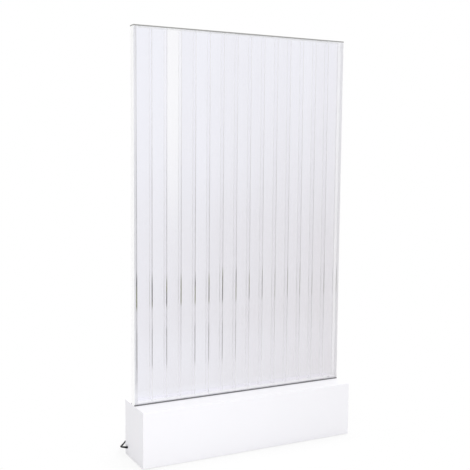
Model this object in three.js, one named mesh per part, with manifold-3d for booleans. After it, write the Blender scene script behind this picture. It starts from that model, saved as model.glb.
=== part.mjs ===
// Bubble wall panel: a tall clear acrylic tank of narrow upright channels that stands on a low white base.
// Millimetres, +Z up, front towards -Y. The origin is on the floor, under the middle of the base.
// The base holds the air pump, the lights and the drain; a door in its back opens on them.
import * as THREE from 'three';
import { mergeVertices } from 'three/addons/utils/BufferGeometryUtils.js';
import Module from 'manifold-3d';

const wasm = await Module();
wasm.setup();

// Overall sizes
const LENGTH = 1010;
const DEPTH = 212;
const BASE_HEIGHT = 240;
const TANK_HEIGHT = 1560;

// Base casework
const BOARD = 16;
const PAD_HEIGHT = 3;
const PAD_RADIUS = 15;
const PAD_INSET = 26;
const PAD_END_INSET = 33.5;

// Tank: two sheets, posts at its ends, dividers between its channels
const TANK_BEHIND_MIDDLE = 12;
const SHEET = 5;
const CHANNEL_DEPTH = 28;
const POST = 15;
const CHANNELS = 15;
const DIVIDER = 3;
const DIVIDER_FOOT_GAP = 4;
const DIVIDER_TOP_GAP = 6;
const TANK_FLOOR = 10;
const SEAL_HEIGHT = 5;
const COVER_HEIGHT = 5;
const COVER_RIB = 2.5;
const COVER_RIB_CLEARANCE = 1;
const COVER_SEAT_GAP = 0.3;

// Slot under the tank, with the air rail and the light bar on straps
const SLOT_LEDGE = 1;
const RAIL_CLEARANCE = 1.2;
const RAIL_HEIGHT = 12;
const RAIL_END_GAP = 4;
const RAIL_WALL = 2;
const DRAIN_BAY = 42;
const LENS_WIDTH = 8;
const LENS_HEIGHT = 2.5;
const STRAP = 2;
const STRAP_WIDTH = 40;
const STRAP_LAP = 25;
const STRAPS = 3;
const NIPPLE_RADIUS = 2.3;
const NIPPLE_BORE = 1;
const NIPPLE_CLEARANCE = 0.3;
const INLET_RADIUS = 2.5;
const INLET_LENGTH = 12;

// Service door, its hinge pin and its latch
const DOOR_LENGTH = 416;
const DOOR = 12;
const DOOR_GAP = 2;
const PIN_RADIUS = 2;
const PIN_CLEARANCE = 0.3;
const PIN_DEPTH = 7;
const LATCH_INSET = 22;
const LATCH_RADIUS = 8;
const LATCH_CLEARANCE = 0.3;
const LATCH_SET_IN = 0.5;
const LATCH_CAM_WIDTH = 12;
const LATCH_CAM = 3;
const LATCH_CAM_GAP = 0.5;
const LATCH_CATCH = 7;
const LATCH_SLOT_WIDTH = 2.4;
const LATCH_SLOT_DEPTH = 2.5;

// Air pump
const PUMP_LENGTH = 120;
const PUMP_WIDTH = 70;
const PUMP_BASE_HEIGHT = 26;
const PUMP_COVER_HEIGHT = 30;
const PUMP_CORNER = 12;
const PUMP_BEVEL = 6;
const PUMP_STUD_RADIUS = 8;
const PUMP_STUD_HEIGHT = 3;
const PUMP_RIGHT_INSET = 70;
const PUMP_FRONT_INSET = 40;
const NOZZLE_LENGTH = 12;

// Air valve and its knob
const VALVE_LENGTH = 30;
const VALVE_WIDTH = 22;
const VALVE_HEIGHT = 36;
const VALVE_PUMP_GAP = 60;
const KNOB_RADIUS = 9;
const KNOB_LENGTH = 12;
const KNOB_GAP = 0.3;
const KNOB_FLUTE_RADIUS = 1.6;
const KNOB_FLUTES = 8;

// Drain tube, valve and lever under the right end of the tank
const DRAIN_RADIUS = 6;
const DRAIN_BORE = 4.5;
const DRAIN_CLEARANCE = 0.3;
const DRAIN_LENGTH = 84;
const DRAIN_INSET = 21;
const DRAIN_LIP = 1;
const DRAIN_BODY_RADIUS = 11;
const DRAIN_BODY_HEIGHT = 34;
const DRAIN_OUTLET_RADIUS = 5;
const DRAIN_OUTLET_LENGTH = 34;
const DRAIN_BARB = 1.2;
const LEVER_HUB_RADIUS = 7;
const LEVER_HUB_LENGTH = 8;
const LEVER_LENGTH = 42;
const LEVER_WIDTH = 9;
const LEVER_THICKNESS = 4;
const LEVER_GAP = 0.3;

// Junction box, which the gland's barrel meets behind the end board, and light driver
const BOX_LENGTH = 100;
const BOX_WIDTH = 60;
const BOX_HEIGHT = 40;
const BOX_REAR_INSET = 1;
const DRIVER_LENGTH = 150;
const DRIVER_WIDTH = 42;
const DRIVER_HEIGHT = 30;
const DRIVER_GAP = 50;
const CASE_CORNER = 5;

// Hoses and inner leads
const HOSE_RADIUS = 3.5;
const LEAD_RADIUS = 3;
const HOSE_GAP = 0.3;
const HOSE_END_SHARE = 0.2;

// Mains cord, its gland, coil and plug
const CORD = 7;
const CORD_GAP = 0.3;
const GLAND_REAR_INSET = 25;
const GLAND_ABOVE_FLOOR = 37;
const GLAND_FLANGE_RADIUS = 5.4;
const GLAND_FLANGE = 2.2;
const GLAND_BARREL_RADIUS = 4.4;
const GLAND_CLEARANCE = 0.3;
const GLAND_BARREL_LENGTH = 22;
const GLAND_KNUCKLE_RADIUS = 4.6;
const GLAND_KNUCKLE_OUT = 5;
const NOSE_LENGTH = 20;
const NOSE_TIP_RADIUS = 3.9;
const NOSE_HEADING = new THREE.Vector3(-0.38, 0.9, -0.18).normalize();
const COIL_CENTRE_X = -392;
const COIL_CENTRE_Y = 200;
const COIL_MIDDLE_RADIUS = 40;
const COIL_TURNS = 6;
const COIL_PITCH = 7.6;
const TAIL_LENGTH = 56;
const PLUG_LENGTH = 38;
const PLUG_WIDTH = 36;
const PLUG_NECK_LENGTH = 22;
const PLUG_NECK_TIP_RADIUS = 4.2;
const PLUG_NECK_RADIUS = 7;
const PLUG_CORNER = 7;
const PLUG_PIN_RADIUS = 2.4;
const PLUG_PIN_LENGTH = 19;
const PLUG_PIN_SPACING = 19;

// The cord's way from its strain relief round to the coil, in the row frame
const CORD_BENDS = [
  [-521.2, 111.9, 30.9],
  [-519.7, 122.7, 28.8],
  [-514.8, 132.5, 26.6],
  [-509.5, 142.2, 24.4],
  [-503.3, 153.6, 21.8],
  [-497.1, 165.1, 19.3],
  [-490.9, 176.5, 16.8],
  [-484.7, 187.9, 14.5],
  [-478.5, 199.3, 12.2],
  [-472.3, 210.8, 10.2],
  [-466.1, 222.2, 8.3],
  [-459.8, 233.5, 6.7],
  [-452.5, 241.7, 5.4],
  [-443.3, 247.7, 4.3],
  [-432.8, 250.9, 3.7],
  [-421.8, 251.4, 3.5],
];

// Counts of flat sides on round faces
const ROUND_SIDES = 24;
const SMALL_SIDES = 12;
const CORNER_STEPS = 4;
const CORD_SIDES = 8;
const COIL_SIDES = 6;
const COIL_STEPS = 24;

// Lengths of the straight stretches that make up a bent cord, hose or lead
const CORD_STEP = 17.5;
const LEAD_STEP = 15;

// Depth that a cutting or joined shape runs past the face it meets
const OVERRUN = 2;
const MERGE_DISTANCE = 0.001;

// Planes that several pieces share
const half = LENGTH / 2;
const frontFace = -DEPTH / 2;
const rearFace = DEPTH / 2;
const innerEnd = half - BOARD;
const innerFront = frontFace + BOARD;
const innerRear = rearFace - BOARD;
const baseTop = BASE_HEIGHT;
const topUnderside = baseTop - BOARD;
const bottomTop = PAD_HEIGHT + BOARD;
const tankMiddle = TANK_BEHIND_MIDDLE;
const channelFront = tankMiddle - CHANNEL_DEPTH / 2;
const channelRear = tankMiddle + CHANNEL_DEPTH / 2;
const tankFront = channelFront - SHEET;
const tankRear = channelRear + SHEET;
const topOfAll = baseTop + TANK_HEIGHT;
const coverUnderside = topOfAll - COVER_HEIGHT;
const tankTop = coverUnderside - COVER_SEAT_GAP;
const channelsEnd = half - POST;
const channelPitch = 2 * channelsEnd / CHANNELS;
const slotFront = channelFront + SLOT_LEDGE;
const slotRear = channelRear - SLOT_LEDGE;

const clear = { transparent: true, opacity: 0.35 };
const finishes = {
  acrylic: new THREE.MeshStandardMaterial({ color: 0xe9eef4, roughness: 0.04, ...clear }),
  lacquer: new THREE.MeshStandardMaterial({ color: 0xf4f4f6, roughness: 0.35 }),
  aluminium: new THREE.MeshStandardMaterial({ color: 0xa6a6a2, roughness: 0.4, metalness: 1 }),
  seal: new THREE.MeshStandardMaterial({ color: 0x66666a, roughness: 0.7 }),
  rubber: new THREE.MeshStandardMaterial({ color: 0x2a2a2c, roughness: 0.8 }),
  steel: new THREE.MeshStandardMaterial({ color: 0xb8b8bc, roughness: 0.3, metalness: 1 }),
  pumpGrey: new THREE.MeshStandardMaterial({ color: 0x4a4f57, roughness: 0.55 }),
  whitePlastic: new THREE.MeshStandardMaterial({ color: 0xe6e6e4, roughness: 0.5 }),
  hose: new THREE.MeshStandardMaterial({ color: 0xdfe6ea, roughness: 0.3 }),
  blueHandle: new THREE.MeshStandardMaterial({ color: 0x2f5f9a, roughness: 0.45 }),
  cord: new THREE.MeshStandardMaterial({ color: 0x1c1c1e, roughness: 0.55 }),
};

const panel = new THREE.Group();

function add(name, geometry, finish, x = 0, y = 0, z = 0) {
  const mesh = new THREE.Mesh(geometry, finish);
  mesh.name = name;
  mesh.position.set(x, y, z);
  panel.add(mesh);
  return mesh;
}

// A box given by the two planes that bound it along each axis
function block([x0, x1], [y0, y1], [z0, z1]) {
  const geometry = new THREE.BoxGeometry(x1 - x0, y1 - y0, z1 - z0);
  return geometry.translate((x0 + x1) / 2, (y0 + y1) / 2, (z0 + z1) / 2);
}

function addBlock(name, finish, xs, ys, zs) {
  const geometry = new THREE.BoxGeometry(xs[1] - xs[0], ys[1] - ys[0], zs[1] - zs[0]);
  return add(name, geometry, finish, (xs[0] + xs[1]) / 2, (ys[0] + ys[1]) / 2, (zs[0] + zs[1]) / 2);
}

// A round bar of a length along one axis, its middle at the origin
function bar(axis, radius, length, sides = SMALL_SIDES, farRadius = radius) {
  const geometry = new THREE.CylinderGeometry(farRadius, radius, length, sides);
  if (axis === 'x') geometry.rotateZ(-Math.PI / 2);
  if (axis === 'z') geometry.rotateX(Math.PI / 2);
  return geometry;
}

function roundedRectangle(width, height, radius) {
  const x = width / 2 - radius;
  const y = height / 2 - radius;
  const shape = new THREE.Shape();
  shape.absarc(x, y, radius, 0, Math.PI / 2);
  shape.absarc(-x, y, radius, Math.PI / 2, Math.PI);
  shape.absarc(-x, -y, radius, Math.PI, 3 * Math.PI / 2);
  shape.absarc(x, -y, radius, 3 * Math.PI / 2, 2 * Math.PI);
  return shape;
}

// Corners of a round outline, in order
function ring(x, y, radius, sides) {
  return Array.from({ length: sides }, (_, i) => {
    const angle = 2 * Math.PI * (i + 1 / 2) / sides;
    return new THREE.Vector2(x + radius * Math.cos(angle), y + radius * Math.sin(angle));
  });
}

function roundHole(x, y, radius, sides = ROUND_SIDES) {
  return new THREE.Path(ring(x, y, radius, sides));
}

function upright(shape, height, curveSegments = CORNER_STEPS) {
  return new THREE.ExtrudeGeometry(shape, { depth: height, bevelEnabled: false, curveSegments });
}

// A solid for cuts and joins, from a closed geometry
function solid(geometry) {
  const bare = geometry.clone();
  for (const name of Object.keys(bare.attributes)) {
    if (name !== 'position') bare.deleteAttribute(name);
  }
  const merged = mergeVertices(bare, MERGE_DISTANCE);
  const vertProperties = Float32Array.from(merged.attributes.position.array);
  const triVerts = Uint32Array.from(merged.index.array);
  return new wasm.Manifold(new wasm.Mesh({ numProp: 3, vertProperties, triVerts }));
}

function geometryOf(body) {
  const mesh = body.getMesh();
  const geometry = new THREE.BufferGeometry();
  geometry.setAttribute('position', new THREE.BufferAttribute(Float32Array.from(mesh.vertProperties), 3));
  geometry.setIndex(Array.from(mesh.triVerts));
  return geometry;
}

function joined(...geometries) {
  return geometryOf(geometries.map(solid).reduce((whole, piece) => whole.add(piece)));
}

function cut(geometry, ...tools) {
  return geometryOf(tools.map(solid).reduce((whole, tool) => whole.subtract(tool), solid(geometry)));
}

// A hose, lead or cord along a smooth curve through chosen points
function tube(points, radius, step, sides = CORD_SIDES) {
  const path = new THREE.CatmullRomCurve3(points, false, 'centripetal');
  const steps = Math.max(1, Math.ceil(path.getLength() / step));
  return new THREE.ExtrudeGeometry(new THREE.Shape(ring(0, 0, radius, sides)), { steps, extrudePath: path });
}

const at = (x, y, z) => new THREE.Vector3(x, y, z);

function tank() {
  const height = [baseTop + SEAL_HEIGHT, tankTop];
  addBlock('front_sheet', finishes.acrylic, [-half, half], [tankFront, channelFront], height);
  addBlock('back_sheet', finishes.acrylic, [-half, half], [channelRear, tankRear], height);
  const depth = [channelFront, channelRear];
  addBlock('left_post', finishes.acrylic, [-half, -channelsEnd], depth, [baseTop, tankTop]);
  addBlock('right_post', finishes.acrylic, [channelsEnd, half], depth, [baseTop, tankTop]);
  const sealHeight = [baseTop, baseTop + SEAL_HEIGHT];
  addBlock('foot_seal_front', finishes.seal, [-half, half], [tankFront, channelFront], sealHeight);
  addBlock('foot_seal_rear', finishes.seal, [-half, half], [channelRear, tankRear], sealHeight);
  const low = baseTop + TANK_FLOOR + DIVIDER_FOOT_GAP;
  const high = tankTop - DIVIDER_TOP_GAP;
  for (let i = 1; i < CHANNELS; i += 1) {
    const x = -channelsEnd + i * channelPitch;
    const name = `divider_${String(i).padStart(2, '0')}`;
    addBlock(name, finishes.acrylic, [x - DIVIDER / 2, x + DIVIDER / 2], depth, [low, high]);
  }
}

const airX = (i) => -channelsEnd + (i + 1 / 2) * channelPitch;
const railWidth = (slotRear - slotFront - 3 * RAIL_CLEARANCE) / 2;
const airRailMiddle = slotRear - RAIL_CLEARANCE - railWidth / 2;
const lightMiddle = slotFront + RAIL_CLEARANCE + railWidth / 2;
const drainX = innerEnd - DRAIN_INSET;
const railLeft = -innerEnd + RAIL_END_GAP;
const railRight = innerEnd - DRAIN_BAY;
const lastAirX = Math.min(airX(CHANNELS - 1), railRight - RAIL_WALL - NIPPLE_RADIUS);

// The tank's bottom: one air hole to each channel, and the drain hole
function tankFloor() {
  const shape = new THREE.Shape();
  shape.moveTo(-channelsEnd, channelFront);
  shape.lineTo(channelsEnd, channelFront);
  shape.lineTo(channelsEnd, channelRear);
  shape.lineTo(-channelsEnd, channelRear);
  shape.closePath();
  for (let i = 0; i < CHANNELS; i += 1) {
    const x = Math.min(airX(i), lastAirX);
    shape.holes.push(roundHole(x, airRailMiddle, NIPPLE_RADIUS + NIPPLE_CLEARANCE, SMALL_SIDES));
  }
  shape.holes.push(roundHole(drainX, tankMiddle, DRAIN_RADIUS + DRAIN_CLEARANCE));
  add('tank_floor', upright(shape, TANK_FLOOR, CORNER_STEPS), finishes.acrylic, 0, 0, baseTop);
}

function topCover() {
  const rib = channelsEnd - COVER_RIB_CLEARANCE;
  const ribDepth = [channelFront + COVER_RIB_CLEARANCE, channelRear - COVER_RIB_CLEARANCE];
  const plate = block([-half, half], [tankFront, tankRear], [coverUnderside, topOfAll]);
  const locating = block([-rib, rib], ribDepth, [coverUnderside - COVER_RIB, coverUnderside + OVERRUN]);
  add('top_cover', joined(plate, locating), finishes.aluminium);
}

const doorRight = innerEnd - DOOR_GAP;
const doorLeft = doorRight - DOOR_LENGTH;
const doorFront = rearFace - DOOR;
const pinX = doorRight - DOOR / 2;
const pinY = rearFace - DOOR / 2;
const glandY = rearFace - GLAND_REAR_INSET;

function casework() {
  const high = [PAD_HEIGHT, baseTop];
  addBlock('front_board', finishes.lacquer, [-half, half], [frontFace, innerFront], high);
  addBlock('right_end_board', finishes.lacquer, [innerEnd, half], [innerFront, rearFace], high);
  const cordHole = bar('x', GLAND_BARREL_RADIUS + GLAND_CLEARANCE, BOARD + 2 * OVERRUN, ROUND_SIDES);
  cordHole.translate(-half + BOARD / 2, glandY, GLAND_ABOVE_FLOOR);
  const leftEnd = block([-half, -innerEnd], [innerFront, rearFace], high);
  add('left_end_board', cut(leftEnd, cordHole), finishes.lacquer);
  const top = [topUnderside, baseTop];
  addBlock('top_board_front', finishes.lacquer, [-innerEnd, innerEnd], [innerFront, slotFront], top);
  const pinHole = bar('z', PIN_RADIUS + PIN_CLEARANCE, PIN_DEPTH + OVERRUN, ROUND_SIDES);
  const upperHole = pinHole.clone().translate(pinX, pinY, topUnderside + (PIN_DEPTH - OVERRUN) / 2);
  const lowerHole = pinHole.clone().translate(pinX, pinY, bottomTop - (PIN_DEPTH - OVERRUN) / 2);
  const topRear = block([-innerEnd, innerEnd], [slotRear, rearFace], top);
  add('top_board_rear', cut(topRear, upperHole), finishes.lacquer);
  const bottom = block([-innerEnd, innerEnd], [innerFront, rearFace], [PAD_HEIGHT, bottomTop]);
  add('bottom_board', cut(bottom, lowerHole), finishes.lacquer);
  const between = [bottomTop, topUnderside];
  addBlock('back_board', finishes.lacquer, [-innerEnd, doorLeft - DOOR_GAP], [innerRear, rearFace], between);
  const padX = half - PAD_END_INSET;
  const padY = rearFace - PAD_INSET;
  const corners = { front_left: [-1, -1], front_right: [1, -1], rear_left: [-1, 1], rear_right: [1, 1] };
  for (const [corner, [sideX, sideY]] of Object.entries(corners)) {
    const pad = bar('z', PAD_RADIUS, PAD_HEIGHT, ROUND_SIDES);
    add(`foot_pad_${corner}`, pad, finishes.rubber, sideX * padX, sideY * padY, PAD_HEIGHT / 2);
  }
}

const latchX = doorLeft + LATCH_INSET;
const latchZ = (bottomTop + topUnderside) / 2;

// The door turns on one long pin; its hinged edge is rounded about the pin so that it clears the end board
function serviceDoor() {
  const shape = new THREE.Shape();
  const radius = DOOR / 2;
  shape.moveTo(doorLeft, doorFront);
  shape.absarc(pinX, pinY, radius, -Math.PI / 2, Math.PI / 2);
  shape.lineTo(doorLeft, rearFace);
  shape.closePath();
  shape.holes.push(roundHole(pinX, pinY, PIN_RADIUS + PIN_CLEARANCE));
  const low = bottomTop + DOOR_GAP;
  const leaf = upright(shape, topUnderside - DOOR_GAP - low, SMALL_SIDES).translate(0, 0, low);
  const hole = bar('y', LATCH_RADIUS + LATCH_CLEARANCE, DOOR + 2 * OVERRUN, ROUND_SIDES);
  add('service_door', cut(leaf, hole.translate(latchX, pinY, latchZ)), finishes.lacquer);
  const pinLength = topUnderside - bottomTop + 2 * (PIN_DEPTH - PIN_CLEARANCE);
  add('door_hinge_pin', bar('z', PIN_RADIUS, pinLength, ROUND_SIDES), finishes.steel, pinX, pinY, latchZ);
}

// A coin-slot latch: a turn brings its cam behind the back board. It rests unlocked, with the cam upright
function doorLatch() {
  const outer = rearFace - LATCH_SET_IN;
  const camRear = innerRear - LATCH_CAM_GAP;
  const camFront = camRear - LATCH_CAM;
  const barrel = bar('y', LATCH_RADIUS, outer - camFront, ROUND_SIDES);
  barrel.translate(latchX, (outer + camFront) / 2, latchZ);
  const reach = LATCH_INSET + DOOR_GAP + LATCH_CATCH;
  const width = LATCH_CAM_WIDTH / 2;
  const cam = block([latchX - width, latchX + width], [camFront, camRear], [latchZ, latchZ + reach]);
  const slotWidth = LATCH_SLOT_WIDTH / 2;
  const wide = LATCH_RADIUS + OVERRUN;
  const slotDepth = [outer - LATCH_SLOT_DEPTH, outer + OVERRUN];
  const slot = block([latchX - slotWidth, latchX + slotWidth], slotDepth, [latchZ - wide, latchZ + wide]);
  add('door_latch', cut(joined(barrel, cam), slot), finishes.steel);
}

const inletX = drainX - PUMP_RIGHT_INSET - PUMP_LENGTH - VALVE_PUMP_GAP - VALVE_LENGTH - VALVE_PUMP_GAP;
const railBottom = topUnderside;
const inletBottom = railBottom - INLET_LENGTH;

// Air rail: a square tube with a nipple up into each channel and one inlet below
function airRail() {
  const rail = block(
    [railLeft, railRight],
    [airRailMiddle - railWidth / 2, airRailMiddle + railWidth / 2],
    [railBottom, railBottom + RAIL_HEIGHT],
  );
  const nippleTop = baseTop + TANK_FLOOR - NIPPLE_CLEARANCE;
  const nippleLow = railBottom + RAIL_HEIGHT - RAIL_WALL / 2;
  const boreZ = railBottom + RAIL_HEIGHT / 2;
  const nipples = [];
  const bores = [];
  for (let i = 0; i < CHANNELS; i += 1) {
    const x = Math.min(airX(i), lastAirX);
    const nipple = bar('z', NIPPLE_RADIUS, nippleTop - nippleLow, SMALL_SIDES);
    nipples.push(nipple.translate(x, airRailMiddle, (nippleTop + nippleLow) / 2));
    const bore = bar('z', NIPPLE_BORE, nippleTop + OVERRUN - boreZ, CORD_SIDES);
    bores.push(bore.translate(x, airRailMiddle, (nippleTop + OVERRUN + boreZ) / 2));
  }
  const inlet = bar('z', INLET_RADIUS, INLET_LENGTH + RAIL_WALL / 2, SMALL_SIDES);
  inlet.translate(inletX, airRailMiddle, inletBottom + (INLET_LENGTH + RAIL_WALL / 2) / 2);
  const inletBore = bar('z', NIPPLE_BORE, boreZ - inletBottom + OVERRUN, CORD_SIDES);
  inletBore.translate(inletX, airRailMiddle, (boreZ + inletBottom - OVERRUN) / 2);
  const hollow = railWidth / 2 - RAIL_WALL;
  const duct = block(
    [railLeft + RAIL_WALL, railRight - RAIL_WALL],
    [airRailMiddle - hollow, airRailMiddle + hollow],
    [railBottom + RAIL_WALL, railBottom + RAIL_HEIGHT - RAIL_WALL],
  );
  add('air_rail', cut(joined(rail, ...nipples, inlet), duct, inletBore, ...bores), finishes.whitePlastic);
}

function lightBar() {
  const profile = block(
    [railLeft, railRight],
    [lightMiddle - railWidth / 2, lightMiddle + railWidth / 2],
    [railBottom, railBottom + RAIL_HEIGHT],
  );
  const lens = block(
    [railLeft + RAIL_WALL, railRight - RAIL_WALL],
    [lightMiddle - LENS_WIDTH / 2, lightMiddle + LENS_WIDTH / 2],
    [railBottom + RAIL_HEIGHT - OVERRUN, railBottom + RAIL_HEIGHT + LENS_HEIGHT],
  );
  add('light_bar', joined(profile, lens), finishes.whitePlastic);
}

function straps() {
  const across = [slotFront - STRAP_LAP, slotRear + STRAP_LAP];
  const height = [topUnderside - STRAP, topUnderside];
  const run = railRight - railLeft - STRAP_WIDTH;
  for (let i = 0; i < STRAPS; i += 1) {
    const left = railLeft + run * i / (STRAPS - 1);
    addBlock(`rail_strap_${i + 1}`, finishes.aluminium, [left, left + STRAP_WIDTH], across, height);
  }
}

const pumpX = drainX - PUMP_RIGHT_INSET - PUMP_LENGTH / 2;
const pumpY = innerFront + PUMP_FRONT_INSET + PUMP_WIDTH / 2;
const pumpLow = bottomTop + PUMP_STUD_HEIGHT;
const nozzleZ = pumpLow + PUMP_BASE_HEIGHT / 2;
const nozzleTip = pumpX - PUMP_LENGTH / 2 - NOZZLE_LENGTH;

function airPump() {
  const outline = roundedRectangle(PUMP_LENGTH, PUMP_WIDTH, PUMP_CORNER);
  const lower = upright(outline, PUMP_BASE_HEIGHT).translate(pumpX, pumpY, pumpLow);
  const studX = PUMP_LENGTH / 2 - PUMP_CORNER;
  const studY = PUMP_WIDTH / 2 - PUMP_CORNER;
  const studs = [[-1, -1], [1, -1], [-1, 1], [1, 1]].map(([sideX, sideY]) => {
    const stud = bar('z', PUMP_STUD_RADIUS, PUMP_STUD_HEIGHT + OVERRUN, SMALL_SIDES);
    const z = bottomTop + (PUMP_STUD_HEIGHT + OVERRUN) / 2;
    return stud.translate(pumpX + sideX * studX, pumpY + sideY * studY, z);
  });
  const nozzle = bar('x', INLET_RADIUS, NOZZLE_LENGTH + OVERRUN, SMALL_SIDES);
  nozzle.translate(nozzleTip + (NOZZLE_LENGTH + OVERRUN) / 2, pumpY, nozzleZ);
  add('air_pump_base', joined(lower, ...studs, nozzle), finishes.pumpGrey);
  const cover = new THREE.ExtrudeGeometry(outline, {
    depth: PUMP_COVER_HEIGHT - 2 * PUMP_BEVEL,
    bevelThickness: PUMP_BEVEL,
    bevelSize: PUMP_BEVEL,
    bevelOffset: -PUMP_BEVEL,
    bevelSegments: CORNER_STEPS,
    curveSegments: CORNER_STEPS,
  });
  add('air_pump_cover', cover, finishes.pumpGrey, pumpX, pumpY, pumpLow + PUMP_BASE_HEIGHT + PUMP_BEVEL);
}

const valveRight = pumpX - PUMP_LENGTH / 2 - VALVE_PUMP_GAP;
const valveX = valveRight - VALVE_LENGTH / 2;
const valveY = pumpY;
const valveBack = valveY + VALVE_WIDTH / 2;
const knobZ = bottomTop + VALVE_HEIGHT / 2;

// The air valve stands on the bottom board; hoses meet its two sides, and its knob faces the door
function airValve() {
  const bodyShape = roundedRectangle(VALVE_LENGTH, VALVE_WIDTH, CASE_CORNER);
  const body = upright(bodyShape, VALVE_HEIGHT).translate(valveX, valveY, bottomTop);
  const barbLength = VALVE_LENGTH + 2 * NOZZLE_LENGTH;
  const barbs = bar('x', INLET_RADIUS, barbLength, SMALL_SIDES).translate(valveX, valveY, nozzleZ);
  add('air_valve', joined(body, barbs), finishes.whitePlastic);
  const knob = bar('y', KNOB_RADIUS, KNOB_LENGTH, ROUND_SIDES);
  const flutes = [];
  for (let i = 0; i < KNOB_FLUTES; i += 1) {
    const angle = 2 * Math.PI * i / KNOB_FLUTES;
    const flute = bar('y', KNOB_FLUTE_RADIUS, KNOB_LENGTH + OVERRUN, CORD_SIDES);
    flutes.push(flute.translate(KNOB_RADIUS * Math.cos(angle), 0, KNOB_RADIUS * Math.sin(angle)));
  }
  const y = valveBack + KNOB_GAP + KNOB_LENGTH / 2;
  add('air_valve_knob', cut(knob, ...flutes), finishes.blueHandle, valveX, y, knobZ);
}

// Hoses from the pump to the valve, and from the valve up to the rail's inlet
function airHoses() {
  const fromX = nozzleTip - HOSE_GAP;
  const toX = valveRight + NOZZLE_LENGTH + HOSE_GAP;
  const first = [at(fromX, pumpY, nozzleZ), at((fromX + toX) / 2, pumpY, nozzleZ), at(toX, valveY, nozzleZ)];
  add('air_hose_pump', tube(first, HOSE_RADIUS, LEAD_STEP), finishes.hose);
  const startX = valveRight - VALVE_LENGTH - NOZZLE_LENGTH - HOSE_GAP;
  const endZ = inletBottom - HOSE_GAP;
  const rise = endZ - nozzleZ;
  const run = startX - inletX;
  const end = HOSE_END_SHARE;
  const second = [
    at(startX, valveY, nozzleZ),
    at(startX - end * run, valveY, nozzleZ),
    at(inletX + end * run, valveY + end * (airRailMiddle - valveY), nozzleZ + end * rise),
    at(inletX, airRailMiddle, endZ - end * rise),
    at(inletX, airRailMiddle, endZ),
  ];
  add('air_hose_rail', tube(second, HOSE_RADIUS, LEAD_STEP), finishes.hose);
}

const drainTop = baseTop + TANK_FLOOR - DRAIN_LIP;
const drainLow = drainTop - DRAIN_LENGTH;
const leverZ = drainLow - DRAIN_BODY_HEIGHT / 2;
const hubX = drainX - DRAIN_BODY_RADIUS - LEVER_GAP;

function drain() {
  const wall = new THREE.Shape(ring(0, 0, DRAIN_RADIUS, ROUND_SIDES));
  wall.holes.push(roundHole(0, 0, DRAIN_BORE));
  add('drain_tube', upright(wall, DRAIN_LENGTH), finishes.hose, drainX, tankMiddle, drainLow);
  const body = bar('z', DRAIN_BODY_RADIUS, DRAIN_BODY_HEIGHT, ROUND_SIDES);
  body.translate(drainX, tankMiddle, leverZ);
  const outletEnd = tankMiddle + DRAIN_BODY_RADIUS + DRAIN_OUTLET_LENGTH;
  const outlet = bar('y', DRAIN_OUTLET_RADIUS, outletEnd - tankMiddle, ROUND_SIDES);
  outlet.translate(drainX, (outletEnd + tankMiddle) / 2, leverZ);
  const barbRadius = DRAIN_OUTLET_RADIUS + DRAIN_BARB;
  const barb = bar('y', DRAIN_OUTLET_RADIUS, DRAIN_OUTLET_RADIUS, ROUND_SIDES, barbRadius);
  barb.rotateX(Math.PI).translate(drainX, outletEnd - DRAIN_OUTLET_RADIUS / 2, leverZ);
  add('drain_valve', joined(body, outlet, barb), finishes.whitePlastic);
  const hub = bar('x', LEVER_HUB_RADIUS, LEVER_HUB_LENGTH, ROUND_SIDES);
  hub.translate(hubX - LEVER_HUB_LENGTH / 2, tankMiddle, leverZ);
  const arm = block(
    [hubX - LEVER_HUB_LENGTH, hubX - LEVER_HUB_LENGTH + LEVER_THICKNESS],
    [tankMiddle, tankMiddle + LEVER_LENGTH],
    [leverZ - LEVER_WIDTH / 2, leverZ + LEVER_WIDTH / 2],
  );
  add('drain_lever', joined(hub, arm), finishes.blueHandle);
}

const boxLeft = -half + GLAND_BARREL_LENGTH + CORD_GAP;
const boxRight = boxLeft + BOX_LENGTH;
const boxY = innerRear - BOX_REAR_INSET - BOX_WIDTH / 2;
const driverLeft = boxRight + DRIVER_GAP;
const driverX = driverLeft + DRIVER_LENGTH / 2;
const leadZ = bottomTop + PUMP_STUD_HEIGHT + LEAD_RADIUS + HOSE_GAP;

function electrics() {
  const boxShape = roundedRectangle(BOX_LENGTH, BOX_WIDTH, CASE_CORNER);
  const boxBody = upright(boxShape, BOX_HEIGHT);
  add('junction_box', boxBody, finishes.whitePlastic, (boxLeft + boxRight) / 2, boxY, bottomTop);
  const driverBody = upright(roundedRectangle(DRIVER_LENGTH, DRIVER_WIDTH, CASE_CORNER), DRIVER_HEIGHT);
  add('light_driver', driverBody, finishes.whitePlastic, driverX, boxY, bottomTop);
}

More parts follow.
